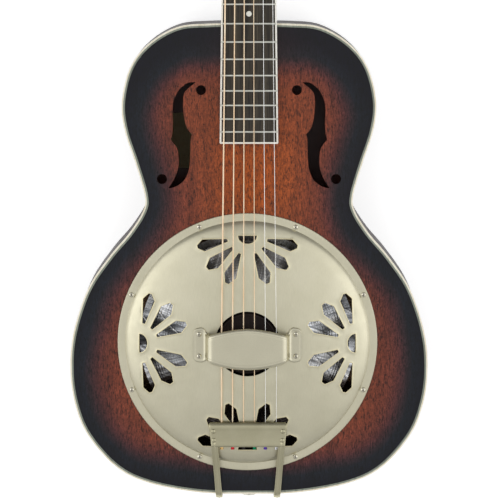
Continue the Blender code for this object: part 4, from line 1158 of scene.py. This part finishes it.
head_half = [(23.2, 0), (23.6, 5), (27.5, 14), (32.6, 24), (35.0, 34), (36.0, 60), (37.2, 110), (38.6, 158), (37.0, 172), (30.0, 180), (16.0, 184.5), (0, HEAD_L)]
right = catmull(head_half, 5)
head_loop = [(min(x, 38.6), min(y, HEAD_L)) for x, y in right]
head_loop = head_loop + [(-x, y) for x, y in head_loop[-2::-1]]
post_holes = [circle(sx * TUNER_X, u, 3.5, 32) for sx in (-1, 1) for u in TUNER_U]
fill = [(x, y) for x in np.arange(-34, 35, 8.5) for y in np.arange(6, 182, 8.5)]
ok = within(fill, [head_loop, *post_holes]) & (distance_to(fill, [head_loop, *post_holes]) > 2)
headstock = sheet("headstock", head_loop, post_holes, [p for p, k in zip(fill, ok) if k], lambda x, y: np.zeros(len(x)), thick=HEAD_T, at=HEAD)
rounded(headstock, 0.7, 2, 60)
piece(headstock, "dark", "dark_mahogany")

nut_top = board_z(NUT_Y) + FRET_H + 0.5 - GAP
rings = []
for x in np.linspace(-23.1, 23.1, 139):
    notch = sum(0.5 * math.exp(-((x - NUT_SPREAD * (0.5 - i / 5)) / (0.35 + STRING_R[i])) ** 2) for i in range(6))
    z0, edge_drop = board_z(NUT_Y) - BOARD_T, max(0.0, abs(x) - 22.4) * 0.6
    top_z = nut_top - notch - edge_drop
    rings.append([(x, NUT_Y + 0.3, z0), (x, NUT_Y + 0.3, top_z - 0.2), (x, NUT_Y + 0.7, top_z), (x, NUT_Y + 2.2, top_z - 0.25), (x, NUT_Y + 3.8, top_z - 0.9), (x, NUT_Y + 4.3, top_z - 1.5), (x, NUT_Y + 4.3, z0)])
piece(add("bone_nut", *loft(rings)), "bone", "bone", "nut")


# =====================================================================================
# tuners
# =====================================================================================
def wheel_ring(z, k=1.0, teeth=14):
    ring = []
    for i in range(teeth * 8):
        a = 2 * math.pi * i / (teeth * 8)
        phase = (i % 8) / 8
        r = 4.9 + 1.1 * max(0.0, min(1.0, 1.55 - 6.0 * abs(phase if phase < 0.5 else phase - 1)))
        ring.append((r * k * math.cos(a), r * k * math.sin(a), z))
    return ring


gear = loft([wheel_ring(-22.8, 0.93), wheel_ring(-22.5), wheel_ring(-19.1), wheel_ring(-18.8, 0.93)])
barrel = [(0, 15.5), (1.9, 15.45), (2.7, 15.2), (3.05, 14.7), (3.1, 14.0), (3.1, 12.6), (2.95, 11.6), (2.6, 10.4), (2.5, 9.6), (2.6, 8.6), (2.95, 7.6), (3.1, 6.8), (3.1, -18.9), (0, -18.9)]
hub = [(0, -22.5), (2.2, -22.5), (2.2, -22.8), (1.9, -22.8), (0, -22.8)]
post_parts = merge(lathe(barrel, 40, closed=False), gear)
worm_rows = []
for x in np.linspace(-5.0, 5.0, 101):
    worm_rows.append([(x, (2.22 + 0.38 * math.sin(a - 2 * math.pi * x / 2.2)) * math.cos(a), (2.22 + 0.38 * math.sin(a - 2 * math.pi * x / 2.2)) * math.sin(a)) for a in np.linspace(0, 2 * math.pi, 29)[:-1]])
worm = loft(worm_rows)
shaft = lathe([(0, -9.6), (1.3, -9.6), (1.6, -9.3), (1.6, 25.5), (0, 25.5)], 28, closed=False)
to_x = Matrix.Rotation(math.radians(90), 4, "Y")
collar = lathe([(1.7, 22.6), (2.6, 22.6), (2.9, 22.9), (2.9, 24.2), (2.5, 24.6), (1.7, 24.6)], 32)
metal_key = merge(moved(shaft, to_x), moved(collar, to_x), worm)
rings = []
for a in np.linspace(0.02, math.pi - 0.02, 25):
    c, s = math.cos(a), math.sin(a)
    w = 8.8 * s ** 0.92
    h = 4.4 * s ** 0.85
    rings.append([(31.0 - 7.6 * c, w * math.cos(b), h * math.copysign(abs(math.sin(b)) ** 0.9, math.sin(b))) for b in np.linspace(0, 2 * math.pi, 33)[:-1]])
knob = loft(rings)

for i in range(6):
    sign = 1 if i < 3 else -1
    u = TUNER_U[i] if i < 3 else TUNER_U[5 - i]
    at = HEAD @ Matrix.Translation(Vector((sign * TUNER_X, u, 0)) * MM)
    obj = add(f"post_{i + 1}_gear", *post_parts, angle=32, at=at)
    piece(obj, "nickel_bright", "satin_nickel", f"tuner_post_{i + 1}", body=f"post_{i + 1}")
    turn = Matrix.Identity(4) if sign > 0 else Matrix.Rotation(math.pi, 4, "Z")
    at = HEAD @ Matrix.Translation(Vector((sign * TUNER_X, u + WORM_DU, WORM_W)) * MM) @ turn
    piece(add(f"key_{i + 1}_button", *knob, at=at), "button", "cream_button", f"tuner_key_{i + 1}", body=f"key_{i + 1}")
    piece(add(f"key_{i + 1}_worm", *metal_key, angle=32, at=at), "nickel_bright", "satin_nickel", body=f"key_{i + 1}")
dress("tuner_plate_bass", "nickel_bright", 0.25)
dress("tuner_plate_treble", "nickel_bright", 0.25)


# =====================================================================================
# strings
# =====================================================================================
def string_x(i, y):
    share = (y - SADDLE_Y) / SCALE
    spread = SADDLE_SPREAD + (NUT_SPREAD - SADDLE_SPREAD) * max(0.0, min(1.0, share))
    return spread * (0.5 - i / 5)


for i, r in enumerate(STRING_R):
    sign = 1 if i < 3 else -1
    u = TUNER_U[i] if i < 3 else TUNER_U[5 - i]
    nut_h = board_z(NUT_Y) + FRET_H + 0.5 + r
    x_ball, x_nut = string_x(i, BALL_Y), string_x(i, NUT_Y)
    x_saddle = string_x(i, SADDLE_Y)
    y_saddle = SADDLE_Y + 0.05 * x_saddle
    path = [(x_ball, BALL_Y + 1.2, BALL_Z), (x_ball, BALL_Y + 6, BALL_Z + 0.5)]
    path += [(x_saddle, y_saddle - 1.0, SADDLE_TOP + r - 0.12), (x_saddle, y_saddle, SADDLE_TOP + r), (x_saddle, y_saddle + 1.0, SADDLE_TOP + r - 0.03)]
    steps = 30
    for k in range(1, steps + 1):
        t = k / steps
        y = y_saddle + 1 + (NUT_Y + 0.2 - y_saddle - 1) * t
        path.append((x_saddle + (x_nut - x_saddle) * t, y, SADDLE_TOP + r - 0.03 + (nut_h - SADDLE_TOP - r + 0.03) * t))
    path += [(x_nut, NUT_Y + 2.2, nut_h - 0.15), (x_nut, NUT_Y + 4.4, nut_h - 0.6)]
    around = 2.62 + r + 0.2
    start = math.pi if sign > 0 else 0.0
    turns = 3.2 if r < 0.35 else 2.2
    coils = []
    count = int(turns * 20)
    for k in range(count + 1):
        a = start - sign * (-1) * 2 * math.pi * turns * k / count
        h = 11.6 - (2 * r + 0.12) * turns * k / count
        rr = max(around, 0.0) if h > 8.3 else around + (8.3 - h) * 0.35
        rr = 3.3 + r if h > 11 or h < 8 else max(around, 2.9 + r + abs(h - 9.6) * 0.12)
        p = HEAD_MM @ Vector((sign * TUNER_X + rr * math.cos(a), u + rr * math.sin(a), h))
        coils.append(tuple(p))
    path += coils
    obj = add(f"string_{i + 1}_wire", *tube(path, r + (0.07 if i < 2 else 0.05), 12 if r > 0.35 else 8), angle=60)
    piece(obj, "plain" if i < 2 else "wound", "plain_string" if i < 2 else "wound_string", f"string_{i + 1}")
    drum = [(r + 0.05, -1.45), (1.65, -1.45), (1.9, -1.2), (1.9, -0.7), (1.5, -0.45), (1.5, 0.75), (1.9, 1.0), (1.9, 1.85), (1.65, 2.1), (r + 0.05, 2.1)]
    ball = moved(lathe(drum, 28), Matrix.Translation((x_ball, BALL_Y, BALL_Z)) @ Matrix.Rotation(math.radians(90), 4, "X"))
    piece(add(f"ball_end_{i + 1}", *ball), BALL_MATS[i], "wound_string")

# =====================================================================================
# floor, light and camera
# =====================================================================================
floor = Look("pale_floor", rough=0.95, level=0.1)
floor.colour(floor.ramp(floor.noise((700, 700, 700), 3), [(0.3, (0.915, 0.915, 0.915, 1)), (0.7, (0.935, 0.935, 0.935, 1))]))
ground = add("studio_floor", [(-40000, -40000, -0.6), (40000, -40000, -0.6), (40000, 40000, -0.6), (-40000, 40000, -0.6)], [(0, 1, 2, 3)], fix=False)
ground.data.materials.append(floor.m)
floor.b.inputs["Emission Color"].default_value = (1, 1, 1, 1)
floor.b.inputs["Emission Strength"].default_value = 0.55

world = bpy.data.worlds.new("studio")
bpy.context.scene.world = world
world.use_nodes = True
sky = world.node_tree
sky.nodes["Background"].inputs[0].default_value = (1.0, 1.0, 1.0, 1)
way = sky.nodes.new("ShaderNodeSeparateXYZ")
sky.links.new(sky.nodes.new("ShaderNodeTexCoord").outputs["Generated"], way.inputs[0])
along = sky.nodes.new("ShaderNodeMapRange")
along.inputs["From Min"].default_value = -1.0
sky.links.new(way.outputs[1], along.inputs["Value"])
fade = sky.nodes.new("ShaderNodeValToRGB")
while len(fade.color_ramp.elements) > 1:
    fade.color_ramp.elements.remove(fade.color_ramp.elements[-1])
for n, (where, tone) in enumerate([(0.0, 0.35), (0.20, 0.50), (0.34, 0.58), (0.42, 0.68), (0.50, 0.80), (0.59, 0.76), (0.69, 0.50), (0.82, 0.30), (1.0, 0.20)]):
    e = fade.color_ramp.elements[0] if n == 0 else fade.color_ramp.elements.new(where)
    e.position, e.color = where, (tone, tone, tone, 1.0)
sky.links.new(along.outputs[0], fade.inputs[0])
across = sky.nodes.new("ShaderNodeMath")
across.operation = "ABSOLUTE"
sky.links.new(way.outputs[0], across.inputs[0])
lift = sky.nodes.new("ShaderNodeMapRange")
lift.inputs["To Min"].default_value, lift.inputs["To Max"].default_value = 1.0, 1.5
sky.links.new(across.outputs[0], lift.inputs["Value"])
glow = sky.nodes.new("ShaderNodeMath")
glow.operation = "MULTIPLY"
sky.links.new(fade.outputs[0], glow.inputs[0])
sky.links.new(lift.outputs[0], glow.inputs[1])
sky.links.new(glow.outputs[0], sky.nodes["Background"].inputs[1])

TARGET = Vector((0.0010, 0.0918, 0.082))


def softbox(name, place, aim, width, height, watts, tone=(1.0, 1.0, 1.0)):
    light = bpy.data.lights.new(name, "AREA")
    light.shape = "RECTANGLE"
    light.size, light.size_y = width, height
    light.energy = watts
    light.color = tone
    obj = bpy.data.objects.new(name, light)
    obj.location = place
    obj.rotation_euler = (Vector(aim) - Vector(place)).to_track_quat("-Z", "Y").to_euler()
    obj.visible_camera = False
    bpy.context.scene.collection.objects.link(obj)
    return obj


softbox("softbox_left", (-2.0, 0.7, 2.3), (0, 0.1, 0.08), 3.0, 3.0, 18)
softbox("softbox_right", (2.0, 0.6, 2.3), (0, 0.1, 0.08), 3.0, 3.0, 15)

TILT = math.radians(6.5)
DISTANCE = 3.0
camera = bpy.data.cameras.new("photo_camera")
camera.sensor_width = 36.0
camera.lens = 36.0 * DISTANCE / 0.493
camera.clip_start, camera.clip_end = 0.05, 200.0
eye = bpy.data.objects.new("photo_camera", camera)
eye.location = TARGET + DISTANCE * Vector((0, math.sin(TILT), math.cos(TILT)))
eye.rotation_euler = (-TILT, 0, 0)
bpy.context.scene.collection.objects.link(eye)
bpy.context.scene.camera = eye
bpy.context.scene.view_settings.view_transform = "Standard"

bpy.context.view_layer.update()
